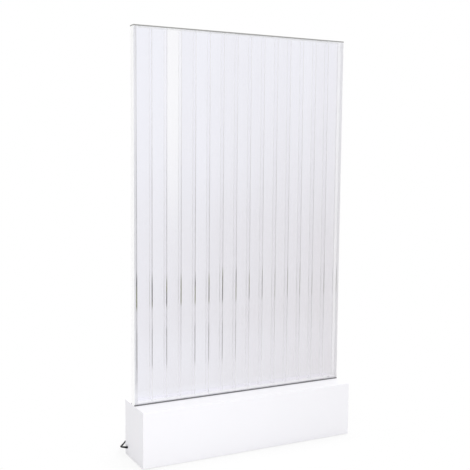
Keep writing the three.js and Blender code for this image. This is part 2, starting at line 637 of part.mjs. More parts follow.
// Leads inside the base: junction box to driver, driver to light bar, junction box to pump
function innerLeads() {
  const fromBox = boxRight + HOSE_GAP;
  const toDriver = driverLeft - HOSE_GAP;
  const linkZ = bottomTop + DRIVER_HEIGHT / 2;
  const link = [fromBox, (fromBox + toDriver) / 2, toDriver].map((x) => at(x, boxY, linkZ));
  add('driver_lead', tube(link, LEAD_RADIUS, LEAD_STEP), finishes.cord);
  const fromDriver = driverLeft + DRIVER_LENGTH + HOSE_GAP;
  const lightX = fromDriver + DRIVER_GAP;
  const lightZ = railBottom - HOSE_GAP;
  const rise = lightZ - linkZ;
  const end = HOSE_END_SHARE;
  const light = [
    at(fromDriver, boxY, linkZ),
    at(fromDriver + end * DRIVER_GAP, boxY, linkZ),
    at(lightX, boxY + end * (lightMiddle - boxY), linkZ + end * rise),
    at(lightX, lightMiddle, lightZ - end * rise),
    at(lightX, lightMiddle, lightZ),
  ];
  add('light_lead', tube(light, LEAD_RADIUS, LEAD_STEP), finishes.cord);
  const sideY = boxY - BOX_WIDTH / 2 - HOSE_GAP;
  const pumpSide = pumpY + PUMP_WIDTH / 2 + HOSE_GAP;
  const wayY = sideY - DRIVER_GAP / 2;
  const boxMiddle = (boxLeft + boxRight) / 2;
  const toPump = [
    at(boxMiddle, sideY, leadZ),
    at(boxMiddle, sideY - HOSE_END_SHARE * DRIVER_GAP, leadZ),
    at(boxMiddle + DRIVER_GAP, wayY, leadZ),
    at(driverX + DRIVER_LENGTH, wayY, leadZ),
    at(valveX - DRIVER_GAP, pumpSide + DRIVER_GAP / 2, leadZ),
    at(pumpX - DRIVER_GAP, pumpSide + DRIVER_GAP / 2, leadZ),
    at(pumpX, pumpSide + HOSE_END_SHARE * DRIVER_GAP, leadZ),
    at(pumpX, pumpSide, leadZ),
  ];
  add('pump_lead', tube(toPump, LEAD_RADIUS, LEAD_STEP), finishes.cord);
}

const knuckle = at(-half - GLAND_KNUCKLE_OUT, glandY, GLAND_ABOVE_FLOOR);
const noseTip = knuckle.clone().addScaledVector(NOSE_HEADING, NOSE_LENGTH);

// Gland: a barrel through the end board, a small flange, and a strain relief that leads the cord backwards
function cordGland() {
  const barrel = bar('x', GLAND_BARREL_RADIUS, GLAND_BARREL_LENGTH + GLAND_KNUCKLE_OUT, ROUND_SIDES);
  barrel.translate((GLAND_BARREL_LENGTH - GLAND_KNUCKLE_OUT) / 2 - half, glandY, GLAND_ABOVE_FLOOR);
  const flange = bar('x', GLAND_FLANGE_RADIUS, GLAND_FLANGE, ROUND_SIDES);
  flange.translate(-half - GLAND_FLANGE / 2, glandY, GLAND_ABOVE_FLOOR);
  const ball = new THREE.SphereGeometry(GLAND_KNUCKLE_RADIUS, SMALL_SIDES, CORD_SIDES);
  ball.translate(knuckle.x, knuckle.y, knuckle.z);
  const nose = bar('y', GLAND_KNUCKLE_RADIUS, NOSE_LENGTH, SMALL_SIDES, NOSE_TIP_RADIUS);
  nose.translate(0, NOSE_LENGTH / 2, 0);
  nose.applyQuaternion(new THREE.Quaternion().setFromUnitVectors(at(0, 1, 0), NOSE_HEADING));
  nose.translate(knuckle.x, knuckle.y, knuckle.z);
  add('cord_gland', joined(barrel, flange, ball, nose), finishes.cord);
}

const cordRadius = CORD / 2;
const coilOuter = COIL_MIDDLE_RADIUS + COIL_PITCH * COIL_TURNS / 4;
const coilEntryY = COIL_CENTRE_Y + coilOuter;
const upperLayer = cordRadius + COIL_PITCH;

function cordRun() {
  const start = noseTip.clone().addScaledVector(NOSE_HEADING, CORD_GAP);
  const straight = noseTip.clone().addScaledVector(NOSE_HEADING, CORD / 2);
  const endX = COIL_CENTRE_X - CORD - CORD_GAP;
  const ends = [at(endX - CORD, coilEntryY, cordRadius), at(endX, coilEntryY, cordRadius)];
  const points = [start, straight, ...CORD_BENDS.map((place) => at(...place)), ...ends];
  add('cord_run', tube(points, cordRadius, CORD_STEP), finishes.cord);
}

// Centre line of the coil: it spirals in on the floor and out again on top, and climbs in the
// half turn where it reverses
function coilLine() {
  const points = [at(COIL_CENTRE_X - CORD, coilEntryY, cordRadius)];
  const middle = COIL_TURNS / 2;
  const inner = coilOuter - COIL_PITCH * middle;
  const steps = COIL_TURNS * COIL_STEPS;
  for (let i = 0; i <= steps; i += 1) {
    const turn = i / COIL_STEPS;
    const angle = Math.PI / 2 - 2 * Math.PI * turn;
    const radius = inner + COIL_PITCH * Math.abs(turn - middle);
    const climb = THREE.MathUtils.clamp(2 * (turn - middle) + 1 / 2, 0, 1);
    points.push(at(
      COIL_CENTRE_X + radius * Math.cos(angle),
      COIL_CENTRE_Y + radius * Math.sin(angle),
      cordRadius + COIL_PITCH * climb,
    ));
  }
  points.push(at(COIL_CENTRE_X + CORD, coilEntryY, upperLayer));
  return points;
}

// One unbroken tube through the points, with flat ends
function woundTube(points, radius, sides) {
  const positions = [];
  const faces = [];
  const up = at(0, 0, 1);
  points.forEach((point, i) => {
    const ahead = points[Math.min(i + 1, points.length - 1)];
    const behind = points[Math.max(i - 1, 0)];
    const along = ahead.clone().sub(behind).normalize();
    const across = up.clone().cross(along).normalize();
    const above = along.clone().cross(across);
    for (let j = 0; j < sides; j += 1) {
      const angle = 2 * Math.PI * j / sides;
      const place = point.clone();
      place.addScaledVector(across, radius * Math.cos(angle));
      place.addScaledVector(above, radius * Math.sin(angle));
      positions.push(place.x, place.y, place.z);
    }
  });
  const last = (points.length - 1) * sides;
  for (let i = 0; i < last; i += sides) {
    for (let j = 0; j < sides; j += 1) {
      const next = (j + 1) % sides;
      faces.push(i + j, i + next, i + sides + j);
      faces.push(i + next, i + sides + next, i + sides + j);
    }
  }
  for (let j = 1; j < sides - 1; j += 1) {
    faces.push(0, j + 1, j);
    faces.push(last, last + j, last + j + 1);
  }
  const geometry = new THREE.BufferGeometry();
  geometry.setAttribute('position', new THREE.Float32BufferAttribute(positions, 3));
  geometry.setIndex(faces);
  return geometry;
}

// Least clear space between stretches of the coil that are more than half a turn apart along it
function leastGap(points) {
  let least = Infinity;
  points.forEach((point, i) => {
    for (let j = i + COIL_STEPS / 2; j < points.length; j += 1) {
      least = Math.min(least, point.distanceTo(points[j]));
    }
  });
  return least - CORD;
}

function cordCoil() {
  const line = coilLine();
  console.log(`coil: least gap between turns ${leastGap(line).toFixed(2)} mm`);
  add('cord_coil', woundTube(line, cordRadius, COIL_SIDES), finishes.cord);
}

const tailStart = COIL_CENTRE_X + CORD + CORD_GAP;
const tailEnd = tailStart + TAIL_LENGTH;

function cordTail() {
  const points = [tailStart, (tailStart + tailEnd) / 2, tailEnd].map((x) => at(x, coilEntryY, upperLayer));
  add('cord_tail', tube(points, cordRadius, CORD_STEP), finishes.cord);
}

// A plain two-pin plug, lying on its flat side at the height of the coil's upper layer
function plug() {
  const neckLeft = tailEnd + CORD_GAP;
  const bodyLeft = neckLeft + PLUG_NECK_LENGTH;
  const neckReach = PLUG_NECK_LENGTH + OVERRUN;
  const neck = bar('x', PLUG_NECK_TIP_RADIUS, neckReach, SMALL_SIDES, PLUG_NECK_RADIUS);
  neck.translate(neckLeft + neckReach / 2, coilEntryY, upperLayer);
  const shape = roundedRectangle(PLUG_LENGTH, PLUG_WIDTH, PLUG_CORNER);
  const body = upright(shape, 2 * upperLayer).translate(bodyLeft + PLUG_LENGTH / 2, coilEntryY, 0);
  const bodyRight = bodyLeft + PLUG_LENGTH;
  const pins = [-1, 1].map((side) => {
    const pin = bar('x', PLUG_PIN_RADIUS, PLUG_PIN_LENGTH + OVERRUN, SMALL_SIDES);
    const x = bodyRight + (PLUG_PIN_LENGTH - OVERRUN) / 2;
    return pin.translate(x, coilEntryY + side * PLUG_PIN_SPACING / 2, upperLayer);
  });
  add('plug', joined(body, neck, ...pins), finishes.cord);
}

tank();
tankFloor();
topCover();
casework();
serviceDoor();
doorLatch();
airRail();
lightBar();
straps();
airPump();
airValve();
airHoses();
drain();
electrics();
innerLeads();
cordGland();
cordRun();
cordCoil();
cordTail();
plug();

export default panel;
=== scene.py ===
"""Looks of a free-standing bubble wall: a clear acrylic tank of upright channels on a low white base.

Lengths are in metres, +Z up, with the front towards -Y.
The origin is on the floor, under the middle of the base.
"""

import math
from contextlib import contextmanager

import bmesh
import bpy
from mathutils import Matrix, Vector


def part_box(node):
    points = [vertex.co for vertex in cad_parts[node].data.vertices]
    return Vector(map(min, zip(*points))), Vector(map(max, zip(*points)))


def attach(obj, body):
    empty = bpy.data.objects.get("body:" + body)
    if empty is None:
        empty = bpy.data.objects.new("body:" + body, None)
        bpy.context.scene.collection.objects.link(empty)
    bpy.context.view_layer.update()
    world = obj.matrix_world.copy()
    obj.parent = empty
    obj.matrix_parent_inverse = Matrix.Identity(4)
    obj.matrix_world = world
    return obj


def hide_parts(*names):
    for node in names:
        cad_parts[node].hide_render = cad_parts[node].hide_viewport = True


bl_info = {
    "name": "Bubble wall panel",
    "version": (1, 0, 0),
    "blender": (4, 5, 0),
    "location": "3D View > Sidebar > Bubble wall",
    "description": "Models and finishes a bubble wall panel and its studio",
    "category": "Object",
}

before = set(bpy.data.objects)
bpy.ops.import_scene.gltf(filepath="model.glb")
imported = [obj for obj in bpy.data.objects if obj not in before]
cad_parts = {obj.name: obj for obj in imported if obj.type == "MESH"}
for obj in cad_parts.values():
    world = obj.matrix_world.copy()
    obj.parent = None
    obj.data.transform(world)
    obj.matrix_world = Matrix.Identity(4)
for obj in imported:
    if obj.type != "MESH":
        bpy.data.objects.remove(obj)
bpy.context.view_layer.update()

MM = 0.001
UP = Vector((0, 0, 1))


def nodes_named(start):
    """The frame's nodes whose names start so, in order."""
    return sorted(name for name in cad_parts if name.startswith(start))


# Planes of the tank and the base, from the frame
sheet_low, sheet_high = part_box("front_sheet")
rear_low, rear_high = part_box("back_sheet")
base_low, base_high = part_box("front_board")
dividers = nodes_named("divider_")
tank_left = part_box("left_post")[1].x
tank_middle = (sheet_low.y + rear_high.y) / 2
channel_pitch = -2 * tank_left / (len(dividers) + 1)


# Values that a user may change

def number(name, default, text, **more):
    """A plain number, or a measure with a unit or a subtype."""
    return bpy.props.FloatProperty(name=name, description=text, default=default, **more)


def length(name, default, text):
    """A length in metres."""
    return number(name, default, text, min=0, unit="LENGTH")


def angle(name, default, text):
    """An angle in radians."""
    return number(name, default, text, subtype="ANGLE")


def share(name, default, text):
    """A number from 0 to 1."""
    return number(name, default, text, min=0, max=1)


def point(name, default, text):
    """A place in metres."""
    return bpy.props.FloatVectorProperty(name=name, description=text, default=default, subtype="XYZ")


def colour(name, default, text):
    """A colour of red, green and blue from 0 to 1."""
    return bpy.props.FloatVectorProperty(
        name=name, description=text, default=default, size=3, min=0, max=1, subtype="COLOR"
    )


class BubbleWallSizes(bpy.types.PropertyGroup):
    """Small sizes that the looks add to the frame."""

    bond_gap: length("Bond gap", 0.08 * MM, "Clear space between bonded faces of the tank")
    sheet_edge: length("Sheet edge", 0.6 * MM, "Polished chamfer round the acrylic sheets")
    post_edge: length("Post edge", 0.25 * MM, "Chamfer along the end posts")
    bead: length("Cement bead", 0.6 * MM, "Bead of cement along each glued edge of a divider")
    board_edge: length("Board edge", 1.2 * MM, "Rounding of the base's outer edges")
    seam_edge: length("Seam edge", 0.3 * MM, "Rounding where two boards meet")
    cover_edge: length("Cover edge", 0.8 * MM, "Rounding of the top cover")
    small_edge: length("Small edge", 0.5 * MM, "Rounding of fittings")
    cord_diameter: length("Cord diameter", 7 * MM, "Thickness of the mains cord")
    cord_length: length("Cord length", 1.8, "Length of the mains cord from strain relief to plug")
    coil_radius: length("Coil radius", 40 * MM, "Radius of the put-away coil at the middle of its turns")
    coil_pitch: length("Coil pitch", 7.6 * MM, "Distance from turn to turn")


class BubbleWallColours(bpy.types.PropertyGroup):
    """Base colours of the finishes."""

    clear: colour("Clear acrylic", (0.943, 0.946, 0.98), "Tint of the clearest sheet")
    # The deep tint is where haze and painted shade are thickest, low down and to the right of the sheet
    clear_deep: colour("Deep acrylic", (0.85, 0.838, 0.857), "Tint of the sheet where its haze is thickest")
    bare: colour("Bare acrylic", (0.985, 0.985, 0.99), "Tint of the acrylic where nothing dims it")
    bar: colour("Clear bar", (0.95, 0.948, 0.953), "Tint of the dividers and posts where they have greyed")
    bonded: colour("Bonded edge", (0.9, 0.9, 0.91), "Glued edges of the dividers, as new")
    greyed: colour("Greyed edge", (0.44, 0.44, 0.45), "Glued edges of the dividers where they have greyed")
    film: colour("Cement film", (0.85, 0.85, 0.86), "Milky glue between the end posts and the sheets")
    film_deep: colour("Greyed film", (0.69, 0.69, 0.7), "The same glue where it has greyed")
    end: colour("Frosted end", (0.97, 0.97, 0.97), "Sawn ends of the sheets and posts")
    # Streak and Algae are the dark and olive parts of a painted reflection in the glued edges
    reflection_dark: colour("Streak", (0.07, 0.07, 0.065), "Dark stain in the glued edges")
    reflection_olive: colour("Algae", (0.13, 0.14, 0.045), "Olive parts of the stain")
    opal: colour("Opal acrylic", (0.93, 0.93, 0.94), "Tank floor over the lights")
    lacquer: colour("White lacquer", (0.91, 0.904, 0.937), "Boards of the base")
    aluminium: colour("Aluminium", (0.39, 0.39, 0.38), "Top cover and straps")
    seal: colour("Seal", (0.16, 0.16, 0.17), "Sealing strip under the tank")
    # Gasket is painted light: a pale white on the top cover's underside and rib, in place of their shade
    gasket: colour("Gasket", (0.88, 0.88, 0.88), "Soft lining under the top cover")
    rubber: colour("Rubber", (0.03, 0.03, 0.032), "Foot pads")
    steel: colour("Steel", (0.5, 0.5, 0.52), "Hinge pin, latch, screws and plug pins")
    pump: colour("Pump grey", (0.07, 0.08, 0.09), "Air pump case")
    white_plastic: colour("White plastic", (0.78, 0.78, 0.76), "Light bar, valves and boxes")
    hose: colour("Hose", (0.8, 0.84, 0.86), "Clear air hoses and drain tube")
    blue: colour("Blue", (0.03, 0.12, 0.32), "Knob and lever")
    cord: colour("Cord", (0.009, 0.009, 0.0095), "Cord, strain relief, plug and leads")


class BubbleWallStudio(bpy.types.PropertyGroup):
    """Camera, light and floor."""

    lens: number("Lens", 63.1, "Focal length on a 36 mm wide sensor", unit="CAMERA")
    camera_place: point("Camera place", (-1.671155, -3.162407, 1.292583), "Eye point")
    azimuth: angle("Azimuth", -0.476677, "Turn of the view about Z")
    elevation: angle("Elevation", 0.099047, "Fall of the view below the horizon")
    roll: angle("Roll", 0.008697, "Turn of the picture")
    key_power: number("Key", 10.9, "Softbox in front, in watts")
    key_place: point("Key place", (-0.8, -2.0, 1.2), "Middle of the softbox")
    key_aim: point("Key aim", (-0.5, 0, 0.2), "Point that the softbox faces")
    key_size: length("Key size", 1.2, "Side of the softbox")
    sky_strength: number("Sky", 1.2, "Soft light from above")
    sky_softness: angle("Sky softness", math.radians(60), "Width of the light from above")
    room_light: share("Room light", 0.7, "Strength of the even light from all round")
    floor_colour: colour("Floor", (0.87, 0.87, 0.87), "Pale studio floor")
    floor_shade: share("Floor shade", 0.22, "How much of its own light the floor shows close to the object")


# Modelling

# Limits on the angle between two faces. Past a crease they are shaded apart, past the next two their edge
# is rounded or bevelled, and under the last they are made one.
CREASE = math.radians(35)
TUBE_CREASE = math.radians(60)
ROUNDED_FROM = math.radians(30)
BEVELLED_FROM = math.radians(40)
FLAT = math.radians(1)

# Nearer than this, two points or planes are one
SAME_PLACE = 0.01 * MM

# How far a cutting block passes a piece that it goes right through
OVERRUN = 5 * MM

# Screws, and the grooves round cases
SCREW_RADIUS = 2.6 * MM
SCREW_HEAD = 1.6 * MM
SCREW_SUNK = 0.2 * MM
GROOVE_WIDTH = 0.8 * MM
GROOVE_DEPTH = 0.7 * MM


def choose(*pieces):
    """Selects these objects alone, with the first one active. Without any, nothing is selected."""
    bpy.ops.object.select_all(action="DESELECT")
    for piece in pieces:
        piece.select_set(True)
    if pieces:
        bpy.context.view_layer.objects.active = pieces[0]


def added(operator, name, **settings):
    """The object that one of the add operators makes, alone in the selection."""
    choose()
    operator(**settings)
    piece = bpy.context.object
    piece.name = name
    return piece


@contextmanager
def editing(piece, kind="FACE"):
    """Edit mode on one object, with nothing selected at first."""
    choose(piece)
    bpy.ops.object.mode_set(mode="EDIT")
    bpy.ops.mesh.select_mode(type=kind)
    bpy.ops.mesh.select_all(action="DESELECT")
    yield
    bpy.ops.object.mode_set(mode="OBJECT")


def pick_faces(piece, test):
    """Selects the faces whose middle and normal pass the test."""
    mesh = bmesh.from_edit_mesh(piece.data)
    for face in mesh.faces:
        face.select_set(bool(test(face.calc_center_median(), face.normal)))
    mesh.select_flush_mode()
    bmesh.update_edit_mesh(piece.data)


def pick_edges(piece, test):
    """Selects the edges whose middle and direction pass the test."""
    mesh = bmesh.from_edit_mesh(piece.data)
    for edge in mesh.edges:
        start, end = (vertex.co for vertex in edge.verts)
        edge.select_set(bool(test((start + end) / 2, (end - start).normalized())))
    bmesh.update_edit_mesh(piece.data)


def along(axis, least=0.9):
    """A test for edges that run along an axis (0, 1 or 2), or for faces that look along it."""
    return lambda at, way: abs(way[axis]) > least


def settle(piece):
    """Puts the object's place, turn and scale into its mesh."""
    choose(piece)
    bpy.ops.object.transform_apply(location=True, rotation=True, scale=True)
    return piece


def block(name, low, high):
    """A box between two corners."""
    low, high = Vector(low), Vector(high)
    piece = added(bpy.ops.mesh.primitive_cube_add, name, size=1, location=(low + high) / 2)
    piece.scale = high - low
    return settle(piece)


def turned(name, place, heading, rings, sides=32):
    """A round piece: a disc extruded from ring to ring, each given as (distance along the axis, radius)."""
    distance, radius = rings[0]
    disc = {"vertices": sides, "radius": radius, "fill_type": "NGON", "location": (0, 0, distance)}
    piece = settle(added(bpy.ops.mesh.primitive_circle_add, name, **disc))
    with editing(piece):
        bpy.ops.mesh.select_all(action="SELECT")
        for next_distance, next_radius in rings[1:]:
            step = {"value": (0, 0, next_distance - distance)}
            bpy.ops.mesh.extrude_region_move(TRANSFORM_OT_translate=step)
            ratio = next_radius / radius
            bpy.ops.transform.resize(value=(ratio, ratio, 1), center_override=(0, 0, next_distance))
            distance, radius = next_distance, next_radius
        bpy.ops.mesh.select_all(action="SELECT")
        bpy.ops.mesh.normals_make_consistent(inside=False)
    piece.rotation_euler = UP.rotation_difference(Vector(heading)).to_euler()
    piece.location = place
    return settle(piece)


def in_metres(outline, start=0):
    """Rings for a turned piece, from an outline in millimetres that starts a way along its axis."""
    return [(start + distance * MM, radius * MM) for distance, radius in outline]


def ribbed(first, step, rib, count=4):
    """The outline of a rib, repeated from a first point with a step along the axis and outwards."""
    return [
        (first[0] + step[0] * index + distance, first[1] + step[1] * index + radius)
        for index in range(count)
        for distance, radius in rib
    ]


def smooth(piece, crease=CREASE):
    """Smooth shading up to the crease angle, with large faces kept flat."""
    choose(piece)
    bpy.ops.object.shade_smooth_by_angle(angle=crease)
    return apply_modifier(piece, "WEIGHTED_NORMAL", keep_sharp=True)


def round_edges(piece, width, test=None, segments=2):
    """Rounds the edges that pass the test, or all sharp ones."""
    with editing(piece, "EDGE"):
        if test:
            pick_edges(piece, test)
        else:
            bpy.ops.mesh.edges_select_sharp(sharpness=ROUNDED_FROM)
        bpy.ops.mesh.bevel(offset=width, offset_type="OFFSET", segments=segments, affect="EDGES")
    return smooth(piece)


def chamfer(piece, width):
    """Cuts the sharp edges back to narrow flats. All faces stay flat, or a clear piece would act as a lens."""
    round_edges(piece, width, segments=1)
    choose(piece)
    bpy.ops.object.shade_flat()
    return piece


def apply_modifier(piece, kind, **settings):
    """Adds a modifier, sets it up and applies it."""
    choose(piece)
    bpy.ops.object.modifier_add(type=kind)
    modifier = piece.modifiers[-1]
    for name, value in settings.items():
        setattr(modifier, name, value)
    bpy.ops.object.modifier_apply(modifier=modifier.name)
    return piece


def cut(piece, *tools):
    """Cuts tools out of a piece, and removes them."""
    for tool in tools:
        apply_modifier(piece, "BOOLEAN", operation="DIFFERENCE", solver="EXACT", object=tool)
        bpy.data.objects.remove(tool)
    return piece


def join(*pieces):
    """Joins pieces into the first."""
    choose(*pieces)
    bpy.ops.object.join()
    return pieces[0]


def copy_of(piece, name, shift):
    """A copy with a mesh of its own, moved by a shift."""
    choose(piece)
    bpy.ops.object.duplicate(linked=False)
    twin = bpy.context.object
    twin.name = name
    twin.location = shift
    return settle(twin)


def repeated(piece, prefix, nodes):
    """Pairs of a node and its piece: the given piece for the first node, and copies of it for the others."""
    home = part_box(nodes[0])[0]
    piece.name = f"{prefix}_{nodes[0]}"
    copies = [copy_of(piece, f"{prefix}_{node}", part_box(node)[0] - home) for node in nodes[1:]]
    return zip(nodes, [piece, *copies])


def from_node(node, name, width=0, segments=2, crease=CREASE):
    """A copy of a frame node, with its flat faces made whole and its edges rounded."""
    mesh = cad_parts[node].data.copy()
    piece = bpy.data.objects.new(name, mesh)
    bpy.context.scene.collection.objects.link(piece)
    with editing(piece):
        bpy.ops.mesh.select_all(action="SELECT")
        bpy.ops.mesh.remove_doubles(threshold=SAME_PLACE)
        bpy.ops.mesh.dissolve_limited(angle_limit=FLAT)
    mesh.materials.clear()
    if width:
        limit = {"limit_method": "ANGLE", "angle_limit": BEVELLED_FROM}
        apply_modifier(piece, "BEVEL", width=width, segments=segments, **limit)
    return smooth(piece, crease)


def corners(low, high, inset):
    """Places near the four corners of a case's top."""
    return [
        Vector((x, y, high.z))
        for x in (low.x + inset, high.x - inset)
        for y in (low.y + inset, high.y - inset)
    ]


def screws(name, places):
    """Upright steel screws with a cross in their heads. The first is modelled, and the rest are copies."""
    radius, tall = SCREW_RADIUS, SCREW_HEAD
    rings = [(-SCREW_SUNK, radius), (0.5 * tall, radius), (0.85 * tall, 0.85 * radius), (tall, 0.5 * radius)]
    head = turned(f"{name}_screw_1", places[0], UP, rings, 24)
    top = places[0] + tall * UP
    reach = Vector((0.6 * radius, 0.13 * radius, 0.5 * tall))
    arms = [block("arm", top - part, top + part) for part in (reach, reach.yxz)]
    smooth(cut(head, *arms))
    heads = [head]
    for index, place in enumerate(places[1:], 2):
        heads.append(copy_of(head, f"{name}_screw_{index}", place - places[0]))
    for each in heads:
        dress(each, bright_steel)


def groove_round(piece, node, axis, level, corner=0):
    """Cuts a shallow groove all round a node's case, square to an axis, where two parts of the case meet."""
    low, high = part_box(node)
    low[axis] = level
    high[axis] = level + GROOVE_WIDTH
    outwards = Vector([0 if index == axis else GROOVE_DEPTH for index in range(3)])
    sideways = Vector([GROOVE_DEPTH if index == axis else 0 for index in range(3)])
    ring = block("ring", low - outwards, high + outwards)
    core = block("core", low + outwards - sideways, high - outwards + sideways)
    if corner:
        round_edges(core, corner - GROOVE_DEPTH, along(axis), segments=5)
    return cut(piece, cut(ring, core))


# Dressing

made = {}


def finish_of(maker):
    """A finish is made once, and then shared by the pieces that have it."""
    if maker not in made:
        made[maker] = maker(bpy.context.scene.bubble_colours)
    return made[maker]


def dress(piece, maker, *nodes, body="cabinet"):
    """Gives a piece its finish, its body and the frame nodes that it stands for."""
    piece.data.materials.clear()
    piece.data.materials.append(finish_of(maker))
    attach(piece, body)
    if nodes:
        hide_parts(*nodes)
    return piece


def dressed_node(node, name, maker, width=0, segments=2, crease=CREASE, body="cabinet"):
    """A copy of a frame node, rounded and dressed to stand for it."""
    return dress(from_node(node, name, width, segments, crease), maker, node, body=body)


def glazed(piece, maker, node):
    """A dressed clear piece of the tank, which keeps no light from what is behind it."""
    piece.visible_shadow = False
    piece.visible_diffuse = False
    return dress(piece, maker, node)


def paint_faces(piece, maker, test):
    """Adds a finish, and gives it to the faces whose middle and normal pass the test."""
    piece.data.materials.append(finish_of(maker))
    index = len(piece.data.materials) - 1
    for face in piece.data.polygons:
        if test(face.center, face.normal):
            face.material_index = index


# Shaders

class Value:
    """An output of a shader node. Sums and products of values add the Math nodes that work them out."""

    def __init__(self, shader, socket):
        self.shader = shader
        self.socket = socket

    def math(self, operation, *others, clamp=False):
        """One Math node on this value and others."""
        sockets = dict(enumerate((self, *others)))
        return self.shader.add("Math", sockets, operation=operation, use_clamp=clamp)

    def __add__(self, other):
        return self.math("ADD", other)

    __radd__ = __add__

    def __mul__(self, other):
        return self.math("MULTIPLY", other)

    __rmul__ = __mul__

    def __sub__(self, other):
        return self.math("SUBTRACT", other)

    def __rsub__(self, other):
        return self.shader.add("Math", {0: other, 1: self}, operation="SUBTRACT")

    def __truediv__(self, other):
        return self.math("DIVIDE", other)

    def clamped(self):
        """This value held between 0 and 1."""
        return self.math("ADD", 0, clamp=True)

    def between(self, nothing, full):
        """A soft step: 0 at and beyond the first value, and 1 at and beyond the second."""
        sockets = {"Value": self, "From Min": nothing, "From Max": full}
        return self.shader.add("MapRange", sockets, interpolation_type="SMOOTHSTEP")


class Shader:
    """The node tree of a material or of the world, built node by node."""

    def __init__(self, owner):
        owner.use_nodes = True
        self.tree = owner.node_tree
        self.tree.nodes.clear()

    def add(self, kind, sockets=None, output=0, **settings):
        """Adds one node: its settings first, then the values or links of its sockets."""
        node = self.tree.nodes.new(f"ShaderNode{kind}")
        for name, value in settings.items():
            setattr(node, name, value)
        for name, value in (sockets or {}).items():
            if isinstance(value, Value):
                self.tree.links.new(value.socket, node.inputs[name])
            else:
                node.inputs[name].default_value = value
        return Value(self, node.outputs[output])

    def end(self, kind, value):
        """Wires a value to the output of a Material or a World."""
        output = self.tree.nodes.new(f"ShaderNodeOutput{kind}")
        self.tree.links.new(value.socket, output.inputs["Surface"])


class Finish(Shader):
    """A procedural material, with its patterns on Object coordinates."""

    def __init__(self, name):
        self.material = bpy.data.materials.new(name)
        super().__init__(self.material)
        self.place = self.add("TexCoord", output="Object")

    def axis(self, name):
        """One coordinate of the surface, in metres."""
        return self.add("SeparateXYZ", {"Vector": self.place}, name)

    def noise(self, size, stretch=(1, 1, 1), detail=2.0, shift=(0, 0, 0)):
        """Noise from 0 to 1 with features of about the size, longer along the axes with a larger stretch."""
        scale = tuple(1 / part for part in stretch)
        mapped = self.add("Mapping", {"Vector": self.place, "Scale": scale, "Location": shift})
        return self.add("TexNoise", {"Vector": mapped, "Scale": 1 / size, "Detail": detail})

    def mix(self, factor, first, second):
        """A colour between two, by the factor."""
        tones = [tone if isinstance(tone, Value) else (*tone, 1) for tone in (first, second)]
        return self.add("Mix", {0: factor, 6: tones[0], 7: tones[1]}, 2, data_type="RGBA")

    def shaded(self, factor, tone, darker):
        """A colour that the factor darkens, by a share at most."""
        return self.mix(factor, tone, [(1 - darker) * part for part in tone])

    def bump(self, height, depth):
        """A normal bent by a height from 0 to 1 that stands for a depth in metres."""
        return self.add("Bump", {"Height": height, "Distance": depth, "Strength": 1.0})

    def surface(self, **sockets):
        """The finished material, with these values on its Principled shader."""
        named = {name.replace("_", " "): value for name, value in sockets.items()}
        self.end("Material", self.add("BsdfPrincipled", named))
        return self.material


# Finishes

ACRYLIC = {"Roughness": 0.02, "IOR": 1.49, "Transmission_Weight": 1.0}

# Where age and painted reflection show in the tank, in metres up from the floor or across from the middle of
# the tank; the STREAK marks are painted reflection.
# A pair runs from where a mark is nothing to where it is full.
HAZE_FOOT = (0.42, 0.62)
HAZE_TOP = (1.3, 0.9)
CLEAN_TOP = (0.75, 1.5)
BAR_FOOT = (0.26, 0.55)
BAR_TOP = (1.7, 1.05)
EDGE_FOOT = (0.3, 0.6)
POST_FOOT = (0.28, 0.36)
POST_LEFT = (0, -0.3)
GREY_TOP = (1.75, 0.95)
GREY_LEFT = (0.1, -0.25)
CORNER_TOP = (1.45, 1.72)
CORNER_LEFT = (-0.25, -0.35)
STREAK_FOOT = (0.37, 0.42)
STREAK_TOP = (0.58, 0.54)
STREAK_LEFT = (0.02, -0.08)
STREAK_GAP = ((-0.33, -0.31), (-0.26, -0.28))

# The same for the brighter band, up from the sheet's foot, and for the dark line, outwards from a post's
# inner face
BRIGHT_FOOT = (50 * MM, 40 * MM)
POST_LINE = (5.2 * MM, 4.4 * MM)

# The painted reflection line: its foot and its top, how far each wanders, and how softly it comes and goes
REFLECTION_FOOT = 0.648
REFLECTION_FOOT_RANGE = 0.04
REFLECTION_FOOT_STEP = (-0.012, 0.02)
REFLECTION_TOP = 0.79
REFLECTION_TOP_RANGE = 0.12
REFLECTION_TOP_STEP = (0.02, -0.05)
REFLECTION_LEFT = (0.2, -0.2)

# The one channel that is clearer, counted from 0 at the left, and its edges as shares of the pitch
CLEAN_CHANNEL = 2
CLEAN_EDGE_SHARES = ((0.01, 0.05), (0.99, 0.95))


def clear_sheet(colours):
    """Clear extruded acrylic sheet with faint upright draw lines, and painted shade that deepens its tint low
    down and to the right.
    """
    finish = Finish("clear sheet")
    height, across = finish.axis("Z"), finish.axis("X")
    low = (sheet_high.z - height) / (sheet_high.z - sheet_low.z)
    right = (across - sheet_low.x) / (sheet_high.x - sheet_low.x)
    channel = (across - tank_left) / channel_pitch
    each = finish.add("TexWhiteNoise", {"W": channel.math("FLOOR")}, noise_dimensions="1D")
    lines = finish.noise(9 * MM, (1, 1, 400))
    cloud = finish.noise(160 * MM, (1, 1, 3))
    # Painted shade: the tint deepens towards the foot and towards the right, added to the sheet's haze, draw
    # lines and cloud
    haze_and_shade = 0.05 + 0.25 * low + right * (0.18 + 0.45 * low)
    haze_and_shade = haze_and_shade + 0.10 * (each - 0.5) + 0.16 * (lines - 0.5) + 0.2 * (cloud - 0.5)
    haze_and_shade = haze_and_shade + 0.18 * height.between(*HAZE_TOP) * height.between(*HAZE_FOOT)
    foot = height.between(*(sheet_low.z + rise for rise in BRIGHT_FOOT))
    haze_and_shade = (haze_and_shade - 0.17 * foot * (1 - 0.8 * right)).clamped()
    left_edge, right_edge = ([CLEAN_CHANNEL + part for part in pair] for pair in CLEAN_EDGE_SHARES)
    clean = channel.between(*left_edge) * channel.between(*right_edge) * height.between(*CLEAN_TOP)
    tint = finish.mix(haze_and_shade, colours.clear, colours.clear_deep)
    tint = finish.mix(0.7 * clean, tint, colours.bare)
    return finish.surface(Base_Color=tint, **ACRYLIC)


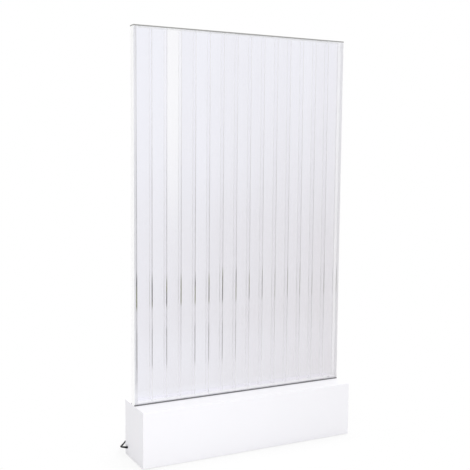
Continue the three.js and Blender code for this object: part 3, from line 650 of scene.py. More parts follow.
def clear_bar(colours):
    """Clear acrylic bar of the posts and dividers, with fine draw lines, and greyer away from its ends."""
    finish = Finish("clear bar")
    height = finish.axis("Z")
    lines = finish.noise(4 * MM, (1, 1, 200))
    grey = height.between(*BAR_TOP) * height.between(*BAR_FOOT) * (0.75 + 0.5 * lines)
    tint = finish.mix(grey.clamped(), colours.bare, colours.bar)
    return finish.surface(Base_Color=tint, **ACRYLIC)


def greyed(finish):
    """How far glue has greyed: least high up, most below the middle, and more towards the left."""
    height, across = finish.axis("Z"), finish.axis("X")
    corner = height.between(*CORNER_TOP) * across.between(*CORNER_LEFT)
    low = 0.1 + 0.9 * height.between(*GREY_TOP)
    return low * (0.7 + 0.3 * across.between(*GREY_LEFT)) + 0.25 * corner


def add_painted_reflection(finish, tint, colours, strength):
    """Adds a painted reflection: an olive line a third of the way up, and dark streaks below it to the left.
    """
    height, across = finish.axis("Z"), finish.axis("X")
    each = finish.noise(25 * MM, (1, 1000, 1000))
    other = finish.noise(31 * MM, (1, 1000, 1000), shift=(5, 5, 5))
    low = REFLECTION_FOOT + REFLECTION_FOOT_RANGE * (each - 0.5)
    high = REFLECTION_TOP + REFLECTION_TOP_RANGE * (other - 0.5)
    line = height.between(*(low + step for step in REFLECTION_FOOT_STEP))
    line = line * height.between(*(high + step for step in REFLECTION_TOP_STEP))
    line = line * (0.38 + 0.62 * across.between(*REFLECTION_LEFT))
    streaks = height.between(*STREAK_FOOT) * height.between(*STREAK_TOP) * across.between(*STREAK_LEFT)
    gap_left, gap_right = STREAK_GAP
    streaks = streaks * (1 - across.between(*gap_left) * across.between(*gap_right))
    tint = finish.mix(0.45 * strength * streaks, tint, colours.reflection_dark)
    patch = finish.noise(45 * MM, (1, 1, 2)).between(0.42, 0.58)
    reflection = finish.mix(patch, colours.reflection_dark, colours.reflection_olive)
    return finish.mix(strength * line, tint, reflection)


def bonded_edge(colours):
    """Sawn and glued edge of a divider: milky, greyed by age and more so at the front, and crossed by a
    painted reflection.
    """
    finish = Finish("bonded edge")
    cloud = finish.noise(70 * MM, (1, 1, 6))
    front = finish.axis("Y").between(tank_middle + MM, tank_middle - MM)
    foot = 0.2 + 0.8 * finish.axis("Z").between(*EDGE_FOOT)
    grey = greyed(finish) * foot * (0.5 + 0.45 * cloud) * (0.55 + 0.45 * front)
    tint = finish.mix(grey.clamped(), colours.bonded, colours.greyed)
    tint = add_painted_reflection(finish, tint, colours, 0.35 + 0.65 * front)
    return finish.surface(Base_Color=tint, Roughness=0.4, IOR=1.49)


def bonded_post(colours):
    """Glued face of an end post: a milky film of cement, with a dark line along its inner side that carries a
    painted reflection.
    """
    finish = Finish("bonded post")
    across = finish.axis("X")
    inner = across.math("ABSOLUTE").between(*(depth - tank_left for depth in POST_LINE))
    cloud = finish.noise(60 * MM, (1, 1, 8))
    foot = 0.2 + 0.8 * finish.axis("Z").between(*POST_FOOT)
    grey = greyed(finish) * foot * (0.85 + 0.5 * cloud) * (0.3 + 0.7 * across.between(*POST_LEFT))
    tint = finish.mix(grey.clamped(), colours.film, colours.film_deep)
    tint = finish.mix((0.7 * inner * grey).clamped(), tint, colours.greyed)
    tint = add_painted_reflection(finish, tint, colours, inner)
    return finish.surface(Base_Color=tint, Roughness=0.35, IOR=1.49)


def frosted_end(colours):
    """Sawn end of the acrylic, milky with fine saw marks, and given a faint painted glow that stands for light
    led there by the sheet.
    """
    finish = Finish("frosted end")
    marks = finish.noise(1.2 * MM, (1, 12, 1))
    tint = finish.shaded(marks, colours.end, 0.03)
    # Painted glow: a faint white emission that lightens the ends
    painted_glow = {"Emission_Color": (1, 1, 1, 1), "Emission_Strength": 0.1}
    normal = finish.bump(marks, 0.03 * MM)
    return finish.surface(Base_Color=tint, Roughness=0.5, IOR=1.49, Normal=normal, **painted_glow)


def opal_acrylic(colours):
    """Milky acrylic over the lights."""
    finish = Finish("opal acrylic")
    tint = finish.shaded(finish.noise(30 * MM), colours.opal, 0.04)
    return finish.surface(Base_Color=tint, Roughness=0.25, Coat_Weight=0.3)


def white_lacquer(colours):
    """Sprayed white lacquer: a faint orange peel and a breath of cloudiness."""
    finish = Finish("white lacquer")
    cloud = finish.noise(220 * MM)
    peel = finish.bump(finish.noise(1.6 * MM, detail=1.0), 0.02 * MM)
    tint = finish.shaded(cloud, colours.lacquer, 0.015)
    coat = {"Coat_Weight": 0.1, "Coat_Roughness": 0.25}
    return finish.surface(Base_Color=tint, Roughness=0.42 + 0.08 * cloud, Normal=peel, **coat)


def satin_aluminium(colours):
    """Anodised aluminium with fine lines drawn along its length."""
    finish = Finish("satin aluminium")
    lines = finish.noise(0.5 * MM, (300, 1, 1), detail=3.0)
    tint = finish.shaded(lines, colours.aluminium, 0.12)
    rough = 0.32 + 0.12 * lines
    normal = finish.bump(lines, 0.01 * MM)
    return finish.surface(Base_Color=tint, Metallic=1.0, Roughness=rough, Normal=normal)


def plain(name, base, rough, grain, depth, darker=0.12, **more):
    """A moulded or drawn surface: slight mottling, and a fine grain in its normal and roughness."""
    finish = Finish(name)
    fine = finish.noise(grain, detail=3.0)
    cloud = finish.noise(40 * grain)
    tint = finish.shaded(0.5 * fine + 0.5 * cloud, base, darker)
    roughness = rough + 0.1 * fine
    return finish.surface(Base_Color=tint, Roughness=roughness, Normal=finish.bump(fine, depth), **more)


def grey_seal(colours):
    """Matt sealing strip."""
    return plain("grey seal", colours.seal, 0.6, 0.8 * MM, 0.05 * MM)


def painted_pale_underside(colours):
    """Pale white for the top cover's underside and rib: painted light, so they don't read as shaded metal."""
    return plain("white gasket", colours.gasket, 0.7, 0.8 * MM, 0.04 * MM, 0.04)


def black_rubber(colours):
    """Rubber of the foot pads."""
    return plain("black rubber", colours.rubber, 0.7, 0.9 * MM, 0.08 * MM)


def bright_steel(colours):
    """Turned steel."""
    return plain("bright steel", colours.steel, 0.25, 0.4 * MM, 0.01 * MM, Metallic=1.0)


def pump_grey(colours):
    """Dark grey moulded case."""
    return plain("pump grey", colours.pump, 0.45, 0.7 * MM, 0.06 * MM)


def white_plastic(colours):
    """White moulded plastic."""
    return plain("white plastic", colours.white_plastic, 0.4, 0.9 * MM, 0.03 * MM, 0.05)


def blue_plastic(colours):
    """Blue moulded plastic of the handles."""
    return plain("blue plastic", colours.blue, 0.38, 0.8 * MM, 0.03 * MM)


def black_pvc(colours):
    """Soft black jacket of the cord and the leads."""
    return plain("cord jacket", colours.cord, 0.55, 0.5 * MM, 0.02 * MM, Specular_IOR_Level=0.15)


def clear_hose(colours):
    """Soft clear hose."""
    finish = Finish("clear hose")
    tint = finish.shaded(finish.noise(12 * MM), colours.hose, 0.08)
    return finish.surface(Base_Color=tint, Roughness=0.12, IOR=1.45, Transmission_Weight=0.8)


# Pieces

class BubbleOperator:
    """What the operators share."""

    bl_options = {"REGISTER", "UNDO"}


class BUBBLE_OT_studio(BubbleOperator, bpy.types.Operator):
    """Sets the camera, the lights, the room and the floor."""

    bl_idname = "bubble.studio"
    bl_label = "Studio"

    SENSOR_WIDTH = 36
    CLIP = (0.05, 200)
    SKY_PLACE = (0, 0, 3)
    SKY_BACK = Vector((0.2, 0.1, 0.97))
    FLOOR_SIDE = 60
    SHADE_REACH = 0.35

    def execute(self, context):
        studio = context.scene.bubble_studio
        turn = Matrix.Rotation(studio.azimuth, 4, "Z")
        turn = turn @ Matrix.Rotation(math.pi / 2 - studio.elevation, 4, "X")
        turn = turn @ Matrix.Rotation(studio.roll, 4, "Z")
        seat = {"location": studio.camera_place, "rotation": turn.to_euler()}
        camera = added(bpy.ops.object.camera_add, "Camera", **seat)
        camera.data.lens = studio.lens
        camera.data.sensor_width = self.SENSOR_WIDTH
        camera.data.clip_start, camera.data.clip_end = self.CLIP
        context.scene.camera = camera
        back = Vector(studio.key_place) - Vector(studio.key_aim)
        key = self.lamp("AREA", "key light", studio.key_place, back)
        key.data.energy = studio.key_power
        key.data.size = studio.key_size
        sky = self.lamp("SUN", "sky light", self.SKY_PLACE, self.SKY_BACK)
        sky.data.energy = studio.sky_strength
        sky.data.angle = studio.sky_softness
        self.floor(studio)
        self.room(context.scene, studio)
        context.scene.view_settings.view_transform = "Standard"
        return {"FINISHED"}

    def lamp(self, kind, name, place, back):
        """A light that only lights, and isn't seen itself. Its back points along a vector."""
        seat = {"location": place, "rotation": back.to_track_quat("Z", "Y").to_euler()}
        lamp = added(bpy.ops.object.light_add, name, type=kind, **seat)
        lamp.visible_camera = False
        lamp.visible_glossy = False
        lamp.visible_transmission = False
        return lamp

    def floor(self, studio):
        """A pale floor that the camera sees as white, except in the object's shadow."""
        floor = added(bpy.ops.mesh.primitive_plane_add, "studio_floor", size=self.FLOOR_SIDE)
        finish = Finish("studio floor")
        beside = (finish.axis("X").math("ABSOLUTE") - base_high.x).math("MAXIMUM", 0)
        behind = (finish.axis("Y").math("ABSOLUTE") + base_low.y).math("MAXIMUM", 0)
        away = (beside * beside + behind * behind).math("SQRT")
        shade = studio.floor_shade * away.between(self.SHADE_REACH, 0)
        diffuse = finish.add("BsdfDiffuse", {"Color": (*studio.floor_colour, 1)})
        white = finish.add("Emission", {"Strength": 1.0})
        factor = self.seen(finish) * (1 - shade)
        finish.end("Material", finish.add("MixShader", {0: factor, 1: diffuse, 2: white}))
        floor.data.materials.append(finish.material)

    def room(self, scene, studio):
        """Even light from all round, which shows as white."""
        scene.world = bpy.data.worlds.new("room")
        shader = Shader(scene.world)
        strength = studio.room_light + self.seen(shader) * (1 - studio.room_light)
        shader.end("World", shader.add("Background", {"Color": (1, 1, 1, 1), "Strength": strength}))

    def seen(self, shader):
        """1 for what the camera sees, also in gloss and through clear pieces, and 0 for what only lights."""
        rays = ("Is Camera Ray", "Is Glossy Ray", "Is Transmission Ray", "Diffuse Depth")
        camera, gloss, through, spread = (shader.add("LightPath", output=ray) for ray in rays)
        return (camera + gloss + through - 3 * spread).clamped()


class BUBBLE_OT_cord(BubbleOperator, bpy.types.Operator):
    """Makes the mains cord, its strain relief, its plug and its tie."""

    bl_idname = "bubble.cord"
    bl_label = "Mains cord"

    # The cord's way from its strain relief round to the coil, as in the part
    BENDS = (
        (-0.5212, 0.1119, 0.0309),
        (-0.5197, 0.1227, 0.0288),
        (-0.5148, 0.1325, 0.0266),
        (-0.5095, 0.1422, 0.0244),
        (-0.5033, 0.1536, 0.0218),
        (-0.4971, 0.1651, 0.0193),
        (-0.4909, 0.1765, 0.0168),
        (-0.4847, 0.1879, 0.0145),
        (-0.4785, 0.1993, 0.0122),
        (-0.4723, 0.2108, 0.0102),
        (-0.4661, 0.2222, 0.0083),
        (-0.4598, 0.2335, 0.0067),
        (-0.4525, 0.2417, 0.0054),
        (-0.4433, 0.2477, 0.0043),
        (-0.4328, 0.2509, 0.0037),
        (-0.4218, 0.2514, 0.0035),
    )
    COIL_CENTRE = Vector((-0.392, 0.200, 0))
    COIL_TURNS = 6
    TURN_STEPS = 24
    TAIL = 56 * MM
    TAIL_IN_PLUG = 0.6 * MM

    # Strain relief: where it bends, where its nose points, and its parts.
    # Each outline is in millimetres along the axis and of radius.
    KNUCKLE = Vector((-0.5100, 0.0810, 0.0370))
    HEADING = Vector((-0.38, 0.9, -0.18)).normalized()
    BALL = 4.6 * MM
    BARREL = ((0, 4), (0.6, 4.4))
    FLANGE = ((0, 4.4), (0, 5), (0.4, 5.4), (1.7, 5.4), (2.2, 4.8), (3, 4.4), (5, 4.3))
    NOSE = 20 * MM
    NOSE_ROOT = ((-0.5, 4.4),)
    NOSE_RIBS = ribbed((3, 4.55), (3.7, -0.15), ((0, 0), (2, -0.05), (2.3, -0.6), (3.2, -0.6)))
    NOSE_TIP = ((-0.6, 3.95), (0, 3.7))

    # Plug: its neck, its body with the grips, and its pins
    NECK = 22 * MM
    NECK_ROOT = ((0, 4.1),)
    NECK_RIBS = ribbed((1.5, 4.8), (4.6, 0.6), ((0, 0), (2.6, 0.15), (2.9, -0.8), (4.2, -0.7)))
    NECK_END = ((2, 7),)
    PLUG_BODY = 38 * MM
    PLUG_LIFT = 0.2 * MM
    PLUG_CORNER = 6.5 * MM
    PLUG_EDGE = 2.2 * MM
    GRIPS = 4
    GRIP_START = 8 * MM
    GRIP_PITCH = 5 * MM
    GRIP_WIDTH = 2 * MM
    GRIP_DEPTH = 1.2 * MM
    PIN = ((0, 1.9), (10, 1.9), (10.2, 2.4), (18.6, 2.4), (20, 1.2))
    PIN_SUNK = 1 * MM
    PIN_SPREAD = 19 * MM

    # Tie: how far along the turns it sits, its width, walls and corners, and the room round the turns
    TIE_OFFSET = 22 * MM
    TIE_WIDTH = 10 * MM
    TIE_WALL = 0.8 * MM
    TIE_SOLE = 0.7 * MM
    TIE_LIFT = 0.05 * MM
    TIE_ROOM = 0.1 * MM
    TIE_CORNER = 3 * MM
    TIE_INNER_CORNER = 2.4 * MM

    def execute(self, context):
        sizes = context.scene.bubble_sizes
        relief = self.relief()
        plug, pins = self.plug(sizes)
        tie = self.tie(sizes)
        points = self.route(sizes)
        line = bpy.data.curves.new("mains_cord", "CURVE")
        line.dimensions = "3D"
        line.bevel_depth = sizes.cord_diameter / 2
        line.bevel_resolution = 5
        line.use_fill_caps = True
        spline = line.splines.new("BEZIER")
        spline.bezier_points.add(len(points) - 1)
        spline.resolution_u = 4
        for knot, place in zip(spline.bezier_points, points):
            knot.co = place
            knot.handle_left_type = knot.handle_right_type = "AUTO"
        cord = bpy.data.objects.new("mains_cord", line)
        context.scene.collection.objects.link(cord)
        dress(cord, black_pvc, "cord_run", "cord_coil", "cord_tail")
        return {"FINISHED"}

    def tail_level(self, sizes):
        """Height of the cord's middle where it leaves the coil, on the second layer of turns."""
        return sizes.cord_diameter / 2 + sizes.coil_pitch

    def route(self, sizes):
        """Points of the cord from the strain relief's tip to the plug's neck."""
        radius = sizes.cord_diameter / 2
        tip = self.KNUCKLE + self.NOSE * self.HEADING
        points = [tip, tip + radius * self.HEADING]
        points += [Vector(bend) for bend in self.BENDS]
        half = self.COIL_TURNS / 2
        outer = sizes.coil_radius + sizes.coil_pitch * half / 2
        entry = self.COIL_CENTRE.y + outer
        start = self.COIL_CENTRE.x - sizes.cord_diameter
        points.append(Vector((start - sizes.cord_diameter, entry, radius)))
        points.append(Vector((start, entry, radius)))
        for step in range(self.COIL_TURNS * self.TURN_STEPS + 1):
            turn = step / self.TURN_STEPS
            bearing = math.pi / 2 - 2 * math.pi * turn
            reach = outer - sizes.coil_pitch * (half - abs(turn - half))
            climb = min(max(2 * (turn - half) + 0.5, 0), 1)
            place = Vector((math.cos(bearing), math.sin(bearing), 0)) * reach + self.COIL_CENTRE
            points.append(place + UP * (radius + sizes.coil_pitch * climb))
        end = self.COIL_CENTRE.x + sizes.cord_diameter
        for run in (0, self.TAIL / 2, self.TAIL + self.TAIL_IN_PLUG):
            points.append(Vector((end + run, entry, self.tail_level(sizes))))
        return points

    def relief(self):
        """Strain relief: a flanged barrel in the end board, and a ribbed nose that turns the cord back."""
        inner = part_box("cord_gland")[1].x
        through = inner - base_low.x
        start = Vector((inner, self.KNUCKLE.y, self.KNUCKLE.z))
        rings = in_metres(self.BARREL) + in_metres(self.FLANGE, through)
        barrel = smooth(turned("cord_relief", start, (-1, 0, 0), rings))
        sphere = {"segments": 32, "ring_count": 16, "radius": self.BALL, "location": self.KNUCKLE}
        ball = settle(added(bpy.ops.mesh.primitive_uv_sphere_add, "cord_knuckle", **sphere))
        rings = in_metres([*self.NOSE_ROOT, *self.NOSE_RIBS]) + in_metres(self.NOSE_TIP, self.NOSE)
        nose = smooth(turned("cord_nose", self.KNUCKLE, self.HEADING, rings))
        relief = join(barrel, smooth(ball, TUBE_CREASE), nose)
        return dress(relief, black_pvc, "cord_gland")

    def plug(self, sizes):
        """A two-pin plug with a ribbed grip, and its sleeved pins."""
        low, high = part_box("plug")
        middle = (low.y + high.y) / 2
        level = self.tail_level(sizes)
        left = low.x + self.NECK
        right = left + self.PLUG_BODY
        body = block("mains_plug", (left, low.y, low.z + self.PLUG_LIFT), (right, high.y, high.z))
        round_edges(body, self.PLUG_CORNER, along(2), segments=5)
        round_edges(body, self.PLUG_EDGE, segments=3)
        grips = []
        for step in range(self.GRIPS):
            x = left + self.GRIP_START + step * self.GRIP_PITCH
            for side in (low.y, high.y):
                start = (x, side - self.GRIP_DEPTH, low.z - OVERRUN)
                end = (x + self.GRIP_WIDTH, side + self.GRIP_DEPTH, high.z + OVERRUN)
                grips.append(block("groove", start, end))
        cut(body, *grips)
        rings = in_metres([*self.NECK_ROOT, *self.NECK_RIBS]) + in_metres(self.NECK_END, self.NECK)
        neck = smooth(turned("plug_neck", Vector((low.x, middle, level)), (1, 0, 0), rings))
        plug = dress(join(smooth(body), neck), black_pvc, "plug")
        place = Vector((right - self.PIN_SUNK, middle - self.PIN_SPREAD / 2, level))
        pin = smooth(turned("plug_pins", place, (1, 0, 0), in_metres(self.PIN), 20))
        pins = join(pin, copy_of(pin, "pin", (0, self.PIN_SPREAD, 0)))
        return plug, dress(pins, bright_steel)

    def tie(self, sizes):
        """A flat strap round the coil's turns, on the side away from the base."""
        wall = self.TIE_WALL
        room = wall + self.TIE_ROOM
        half = self.COIL_TURNS / 4 * sizes.coil_pitch + sizes.cord_diameter / 2 + room
        middle = self.COIL_CENTRE + Vector((self.TIE_OFFSET, sizes.coil_radius, 0))
        top = sizes.cord_diameter + sizes.coil_pitch + room
        low = middle + Vector((-self.TIE_WIDTH / 2, -half, self.TIE_LIFT))
        high = middle + Vector((self.TIE_WIDTH / 2, half, top))
        strap = block("cord_tie", low, high)
        round_edges(strap, self.TIE_CORNER, along(0), segments=4)
        bore_low = low + Vector((-OVERRUN, wall, self.TIE_SOLE))
        bore_high = high + Vector((OVERRUN, -wall, -wall))
        bore = block("bore", bore_low, bore_high)
        round_edges(bore, self.TIE_INNER_CORNER, along(0), segments=4)
        cut(strap, bore)
        with editing(strap):
            bpy.ops.mesh.select_all(action="SELECT")
            turn = -math.atan2(self.TIE_OFFSET, sizes.coil_radius)
            bpy.ops.transform.rotate(value=turn, orient_axis="Z", center_override=tuple(self.COIL_CENTRE))
        return dress(smooth(strap), black_pvc)


class BUBBLE_OT_sheets(BubbleOperator, bpy.types.Operator):
    """Makes the tank's front and back sheets, with polished edges."""

    bl_idname = "bubble.sheets"
    bl_label = "Acrylic sheets"

    def execute(self, context):
        sizes = context.scene.bubble_sizes
        gap = sizes.bond_gap
        spans = {
            "front_sheet": (sheet_low + Vector((0, 0, gap)), sheet_high - Vector((0, gap, 0))),
            "back_sheet": (rear_low + Vector((0, gap, gap)), rear_high),
        }
        for node, (low, high) in spans.items():
            sheet = chamfer(block(f"clear_{node}", low, high), sizes.sheet_edge)
            glazed(sheet, clear_sheet, node)
            paint_faces(sheet, frosted_end, along(0, 0.5))
        return {"FINISHED"}


class BUBBLE_OT_posts(BubbleOperator, bpy.types.Operator):
    """Makes the solid end posts between the sheets."""

    bl_idname = "bubble.posts"
    bl_label = "End posts"

    def execute(self, context):
        sizes = context.scene.bubble_sizes
        gap = sizes.bond_gap
        for node in ("left_post", "right_post"):
            low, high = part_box(node)
            side = math.copysign(1, low.x)
            low += Vector((max(side, 0) * gap, 0, gap))
            high += Vector((min(side, 0) * gap, -gap, 0))
            post = chamfer(block(f"clear_{node}", low, high), sizes.post_edge)
            glazed(post, clear_bar, node)
            paint_faces(post, bonded_post, along(1))
            paint_faces(post, frosted_end, lambda at, way: way.x * side > 0.5)
        return {"FINISHED"}


class BUBBLE_OT_dividers(BubbleOperator, bpy.types.Operator):
    """Makes the upright dividers between the channels, with a bead of cement along each glued edge."""

    bl_idname = "bubble.dividers"
    bl_label = "Dividers"

    def execute(self, context):
        first = self.divider(*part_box(dividers[0]), context.scene.bubble_sizes)
        for node, piece in repeated(first, "clear", dividers):
            glazed(piece, clear_bar, node)
            paint_faces(piece, bonded_edge, along(1, 0.5))
        return {"FINISHED"}

    def divider(self, low, high, sizes):
        """A thin upright bar that widens into its two glued edges."""
        inset = Vector((0, sizes.bond_gap + sizes.bead, 0))
        piece = block("divider", low + inset, high - inset)
        wider = 1 + 2 * sizes.bead / (high.x - low.x)
        for side in (-1, 1):
            step = {"value": (0, side * sizes.bead, 0)}
            with editing(piece):
                pick_faces(piece, lambda at, way: way.y * side > 0.9)
                bpy.ops.mesh.extrude_region_move(TRANSFORM_OT_translate=step)
                bpy.ops.transform.resize(value=(wider, 1, 1), center_override=(low + high) / 2)
        return piece


class BUBBLE_OT_tank_floor(BubbleOperator, bpy.types.Operator):
    """Makes the opal floor of the tank, with its air holes."""

    bl_idname = "bubble.tank_floor"
    bl_label = "Tank floor"

    def execute(self, context):
        edge = context.scene.bubble_sizes.seam_edge
        dressed_node("tank_floor", "opal_tank_floor", opal_acrylic, edge)
        return {"FINISHED"}


class BUBBLE_OT_top_cover(BubbleOperator, bpy.types.Operator):
    """Makes the metal cover that lifts off the tank, with its underside painted pale as painted light."""

    bl_idname = "bubble.top_cover"
    bl_label = "Top cover"

    PALE_UNDERSIDE_REACH = 0.5 * MM

    def execute(self, context):
        edge = context.scene.bubble_sizes.cover_edge
        cover = dressed_node("top_cover", "aluminium_cover", satin_aluminium, edge, 3, body="cover")
        # Painted light: the faces under the cover's top plate get a pale white instead of shaded aluminium
        paint_faces(cover, painted_pale_underside, lambda at, way: at.z < sheet_high.z + self.PALE_UNDERSIDE_REACH)
        return {"FINISHED"}


class BUBBLE_OT_foot_seals(BubbleOperator, bpy.types.Operator):
    """Makes the sealing strips that the sheets stand on."""

    bl_idname = "bubble.foot_seals"
    bl_label = "Foot seals"

    def execute(self, context):
        edge = context.scene.bubble_sizes.small_edge
        for node in nodes_named("foot_seal_"):
            strip = round_edges(block(f"rubber_{node}", *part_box(node)), edge, segments=3)
            dress(strip, grey_seal, node)
        return {"FINISHED"}


class BUBBLE_OT_boards(BubbleOperator, bpy.types.Operator):
    """Makes the lacquered boards of the base, rounder outside than where they meet."""

    bl_idname = "bubble.boards"
    bl_label = "Base boards"

    NODES = (
        "front_board", "back_board", "left_end_board", "right_end_board",
        "top_board_front", "top_board_rear", "bottom_board",
    )

    def execute(self, context):
        sizes = context.scene.bubble_sizes
        for node in self.NODES:
            board = from_node(node, f"lacquered_{node}")
            round_edges(board, sizes.board_edge, self.outer, segments=4)
            round_edges(board, sizes.seam_edge)
            dress(board, white_lacquer, node)
        return {"FINISHED"}

    def outer(self, at, way):
        """An edge is outer where it lies on two of the base's own faces."""
        gaps = (abs(at.x) + base_low.x, abs(at.y) + base_low.y, at.z - base_high.z, at.z - base_low.z)
        return sum(abs(gap) < SAME_PLACE for gap in gaps) >= 2


class BUBBLE_OT_service_door(BubbleOperator, bpy.types.Operator):
    """Makes the service door, its hinge pin and its coin-slot latch."""

    bl_idname = "bubble.service_door"
    bl_label = "Service door"

    def execute(self, context):
        sizes = context.scene.bubble_sizes
        dressed_node("service_door", "lacquered_service_door", white_lacquer, sizes.seam_edge, body="door")
        dressed_node("door_hinge_pin", "steel_hinge_pin", bright_steel)
        dressed_node("door_latch", "steel_door_latch", bright_steel, sizes.small_edge, body="latch")
        return {"FINISHED"}


class BUBBLE_OT_foot_pads(BubbleOperator, bpy.types.Operator):
    """Makes the rubber pads under the base."""

    bl_idname = "bubble.foot_pads"
    bl_label = "Foot pads"

    def execute(self, context):
        edge = context.scene.bubble_sizes.small_edge
        nodes = nodes_named("foot_pad_")
        low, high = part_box(nodes[0])
        radius = (high.x - low.x) / 2
        tall = high.z - low.z
        rings = [(0, radius - 2 * edge), (edge, radius), (tall - edge, radius), (tall, radius - edge)]
        foot = Vector(((low.x + high.x) / 2, (low.y + high.y) / 2, low.z))
        first = smooth(turned("pad", foot, UP, rings, 48))
        for node, pad in repeated(first, "rubber", nodes):
            dress(pad, black_rubber, node)
        return {"FINISHED"}


class BUBBLE_OT_air_pump(BubbleOperator, bpy.types.Operator):
    """Makes the air pump, with cooling grooves and screws in its cover."""

    bl_idname = "bubble.air_pump"
    bl_label = "Air pump"

    COOLING_GROOVES = 9
    COOLING_WIDTH = 3 * MM
    COOLING_DEPTH = 1.5 * MM
    SCREW_INSET = 9 * MM

    def execute(self, context):
        edge = context.scene.bubble_sizes.small_edge
        dressed_node("air_pump_base", "pump_base", pump_grey, 2 * edge)
        cover = from_node("air_pump_cover", "pump_cover", 3 * edge, 4)
        low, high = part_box("air_pump_cover")
        pitch = (high.x - low.x) / (self.COOLING_GROOVES + 3)
        margin = (high.y - low.y) / 4
        middle = (low.x + high.x) / 2
        grooves = []
        for step in range(self.COOLING_GROOVES):
            x = middle + (step - (self.COOLING_GROOVES - 1) / 2) * pitch
            start = (x - self.COOLING_WIDTH / 2, low.y + margin, high.z - self.COOLING_DEPTH)
            end = (x + self.COOLING_WIDTH / 2, high.y - margin, high.z + self.COOLING_DEPTH)
            grooves.append(block("groove", start, end))
        cut(cover, *grooves)
        dress(smooth(cover), pump_grey, "air_pump_cover")
        screws("pump", corners(low, high, self.SCREW_INSET))
        return {"FINISHED"}


class BUBBLE_OT_air_line(BubbleOperator, bpy.types.Operator):
    """Makes the air valve, its knob, the hoses and the air rail with its nipples."""

    bl_idname = "bubble.air_line"
    bl_label = "Air line"

    FLUTES = 16
    FLUTE_INSET = 0.15 * MM
    FLUTE_DEPTH = 0.4 * MM

    def execute(self, context):
        edge = context.scene.bubble_sizes.small_edge
        dressed_node("air_valve", "air_valve_body", white_plastic, edge)
        dress(self.knob("air_valve_knob"), blue_plastic, "air_valve_knob", body="air_knob")
        for node in nodes_named("air_hose_"):
            dressed_node(node, f"clear_{node}", clear_hose, crease=TUBE_CREASE)
        dressed_node("air_rail", "air_rail_duct", white_plastic, edge)
        return {"FINISHED"}

    def knob(self, node):
        """The knob, fluted round its rim."""
        low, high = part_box(node)
        middle = (low + high) / 2
        radius = (high.x - low.x) / 2
        flute = 2 * math.pi / self.FLUTES

        def fluted(at, way):
            """Faces of the rim in the first half of each flute's share of the round."""
            at = at - middle
            rim = abs(way.y) < 0.1 and math.hypot(at.x, at.z) > 0.9 * radius
            return rim and math.atan2(at.z, at.x) % flute < flute / 2

        knob = from_node(node, "air_knob_fluted")
        with editing(knob):
            pick_faces(knob, fluted)
            bpy.ops.mesh.inset(thickness=self.FLUTE_INSET, depth=-self.FLUTE_DEPTH, use_individual=True)
        return smooth(knob)


class BUBBLE_OT_lighting(BubbleOperator, bpy.types.Operator):
    """Makes the light bar, the straps that carry it, and its driver."""

    bl_idname = "bubble.lighting"
    bl_label = "Lighting"

    LENS_RISE = 12.1 * MM
    CAP = 16 * MM
    SCREW_INSET = 8 * MM

    def execute(self, context):
        sizes = context.scene.bubble_sizes
        bar = dressed_node("light_bar", "light_bar_housing", white_plastic)
        lens_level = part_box("air_rail")[0].z + self.LENS_RISE
        paint_faces(bar, opal_acrylic, lambda at, way: at.z > lens_level)
        for node in nodes_named("rail_strap_"):
            dressed_node(node, f"aluminium_{node}", satin_aluminium, sizes.seam_edge)
        driver = from_node("light_driver", "light_driver_case", 2 * sizes.small_edge, 3)
        low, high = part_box("light_driver")
        for level in (low.x + self.CAP, high.x - self.CAP):
            groove_round(driver, "light_driver", 0, level)
        dress(smooth(driver), white_plastic, "light_driver")
        ends = (low.x + self.SCREW_INSET, high.x - self.SCREW_INSET)
        screws("driver", [Vector((x, (low.y + high.y) / 2, high.z)) for x in ends])
        return {"FINISHED"}


class BUBBLE_OT_drain(BubbleOperator, bpy.types.Operator):
    """Makes the drain tube, its valve and the valve's lever."""

    bl_idname = "bubble.drain"
    bl_label = "Drain"

    def execute(self, context):
        edge = context.scene.bubble_sizes.small_edge
        dressed_node("drain_tube", "clear_drain_tube", clear_hose, crease=TUBE_CREASE)
        dressed_node("drain_valve", "drain_valve_body", white_plastic, edge)
        dressed_node("drain_lever", "drain_lever_handle", blue_plastic, edge, 3, body="lever")
        return {"FINISHED"}


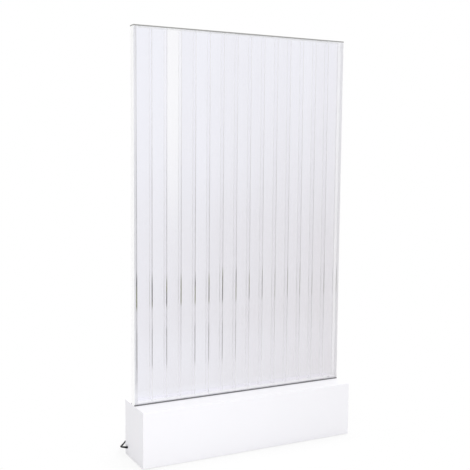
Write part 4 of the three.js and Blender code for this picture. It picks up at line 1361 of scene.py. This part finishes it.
class BUBBLE_OT_wiring(BubbleOperator, bpy.types.Operator):
    """Makes the junction box and the leads inside the base."""

    bl_idname = "bubble.wiring"
    bl_label = "Wiring"

    LID = 11 * MM
    CORNER = 5 * MM
    SCREW_INSET = 8 * MM

    def execute(self, context):
        edge = context.scene.bubble_sizes.small_edge
        case = from_node("junction_box", "junction_box_case", 2 * edge, 3)
        low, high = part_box("junction_box")
        groove_round(case, "junction_box", 2, high.z - self.LID, self.CORNER)
        dress(smooth(case), white_plastic, "junction_box")
        screws("box", corners(low, high, self.SCREW_INSET))
        for node in ("driver_lead", "light_lead", "pump_lead"):
            dressed_node(node, f"black_{node}", black_pvc, crease=TUBE_CREASE)
        return {"FINISHED"}


# The add-on

STEPS = (
    BUBBLE_OT_studio,
    BUBBLE_OT_cord,
    BUBBLE_OT_sheets,
    BUBBLE_OT_posts,
    BUBBLE_OT_dividers,
    BUBBLE_OT_tank_floor,
    BUBBLE_OT_top_cover,
    BUBBLE_OT_foot_seals,
    BUBBLE_OT_boards,
    BUBBLE_OT_service_door,
    BUBBLE_OT_foot_pads,
    BUBBLE_OT_air_pump,
    BUBBLE_OT_air_line,
    BUBBLE_OT_lighting,
    BUBBLE_OT_drain,
    BUBBLE_OT_wiring,
)


class BUBBLE_PT_panel(bpy.types.Panel):
    """Lists the steps in the sidebar."""

    bl_idname = "BUBBLE_PT_panel"
    bl_label = "Bubble wall"
    bl_space_type = "VIEW_3D"
    bl_region_type = "UI"
    bl_category = "Bubble wall"

    def draw(self, context):
        for step in STEPS:
            self.layout.operator(step.bl_idname)


GROUPS = {
    "bubble_sizes": BubbleWallSizes,
    "bubble_colours": BubbleWallColours,
    "bubble_studio": BubbleWallStudio,
}
CLASSES = (*GROUPS.values(), *STEPS, BUBBLE_PT_panel)


def register():
    """Registers the classes and hangs the groups of values on the scene."""
    for cls in CLASSES:
        bpy.utils.register_class(cls)
    for name, group in GROUPS.items():
        setattr(bpy.types.Scene, name, bpy.props.PointerProperty(type=group))


def unregister():
    """Takes the values and the classes away again."""
    for name in GROUPS:
        delattr(bpy.types.Scene, name)
    for cls in reversed(CLASSES):
        bpy.utils.unregister_class(cls)


def main():
    """Registers the add-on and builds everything."""
    register()
    for step in STEPS:
        getattr(bpy.ops.bubble, step.bl_idname.removeprefix("bubble."))()


if __name__ == "__main__":
    main()
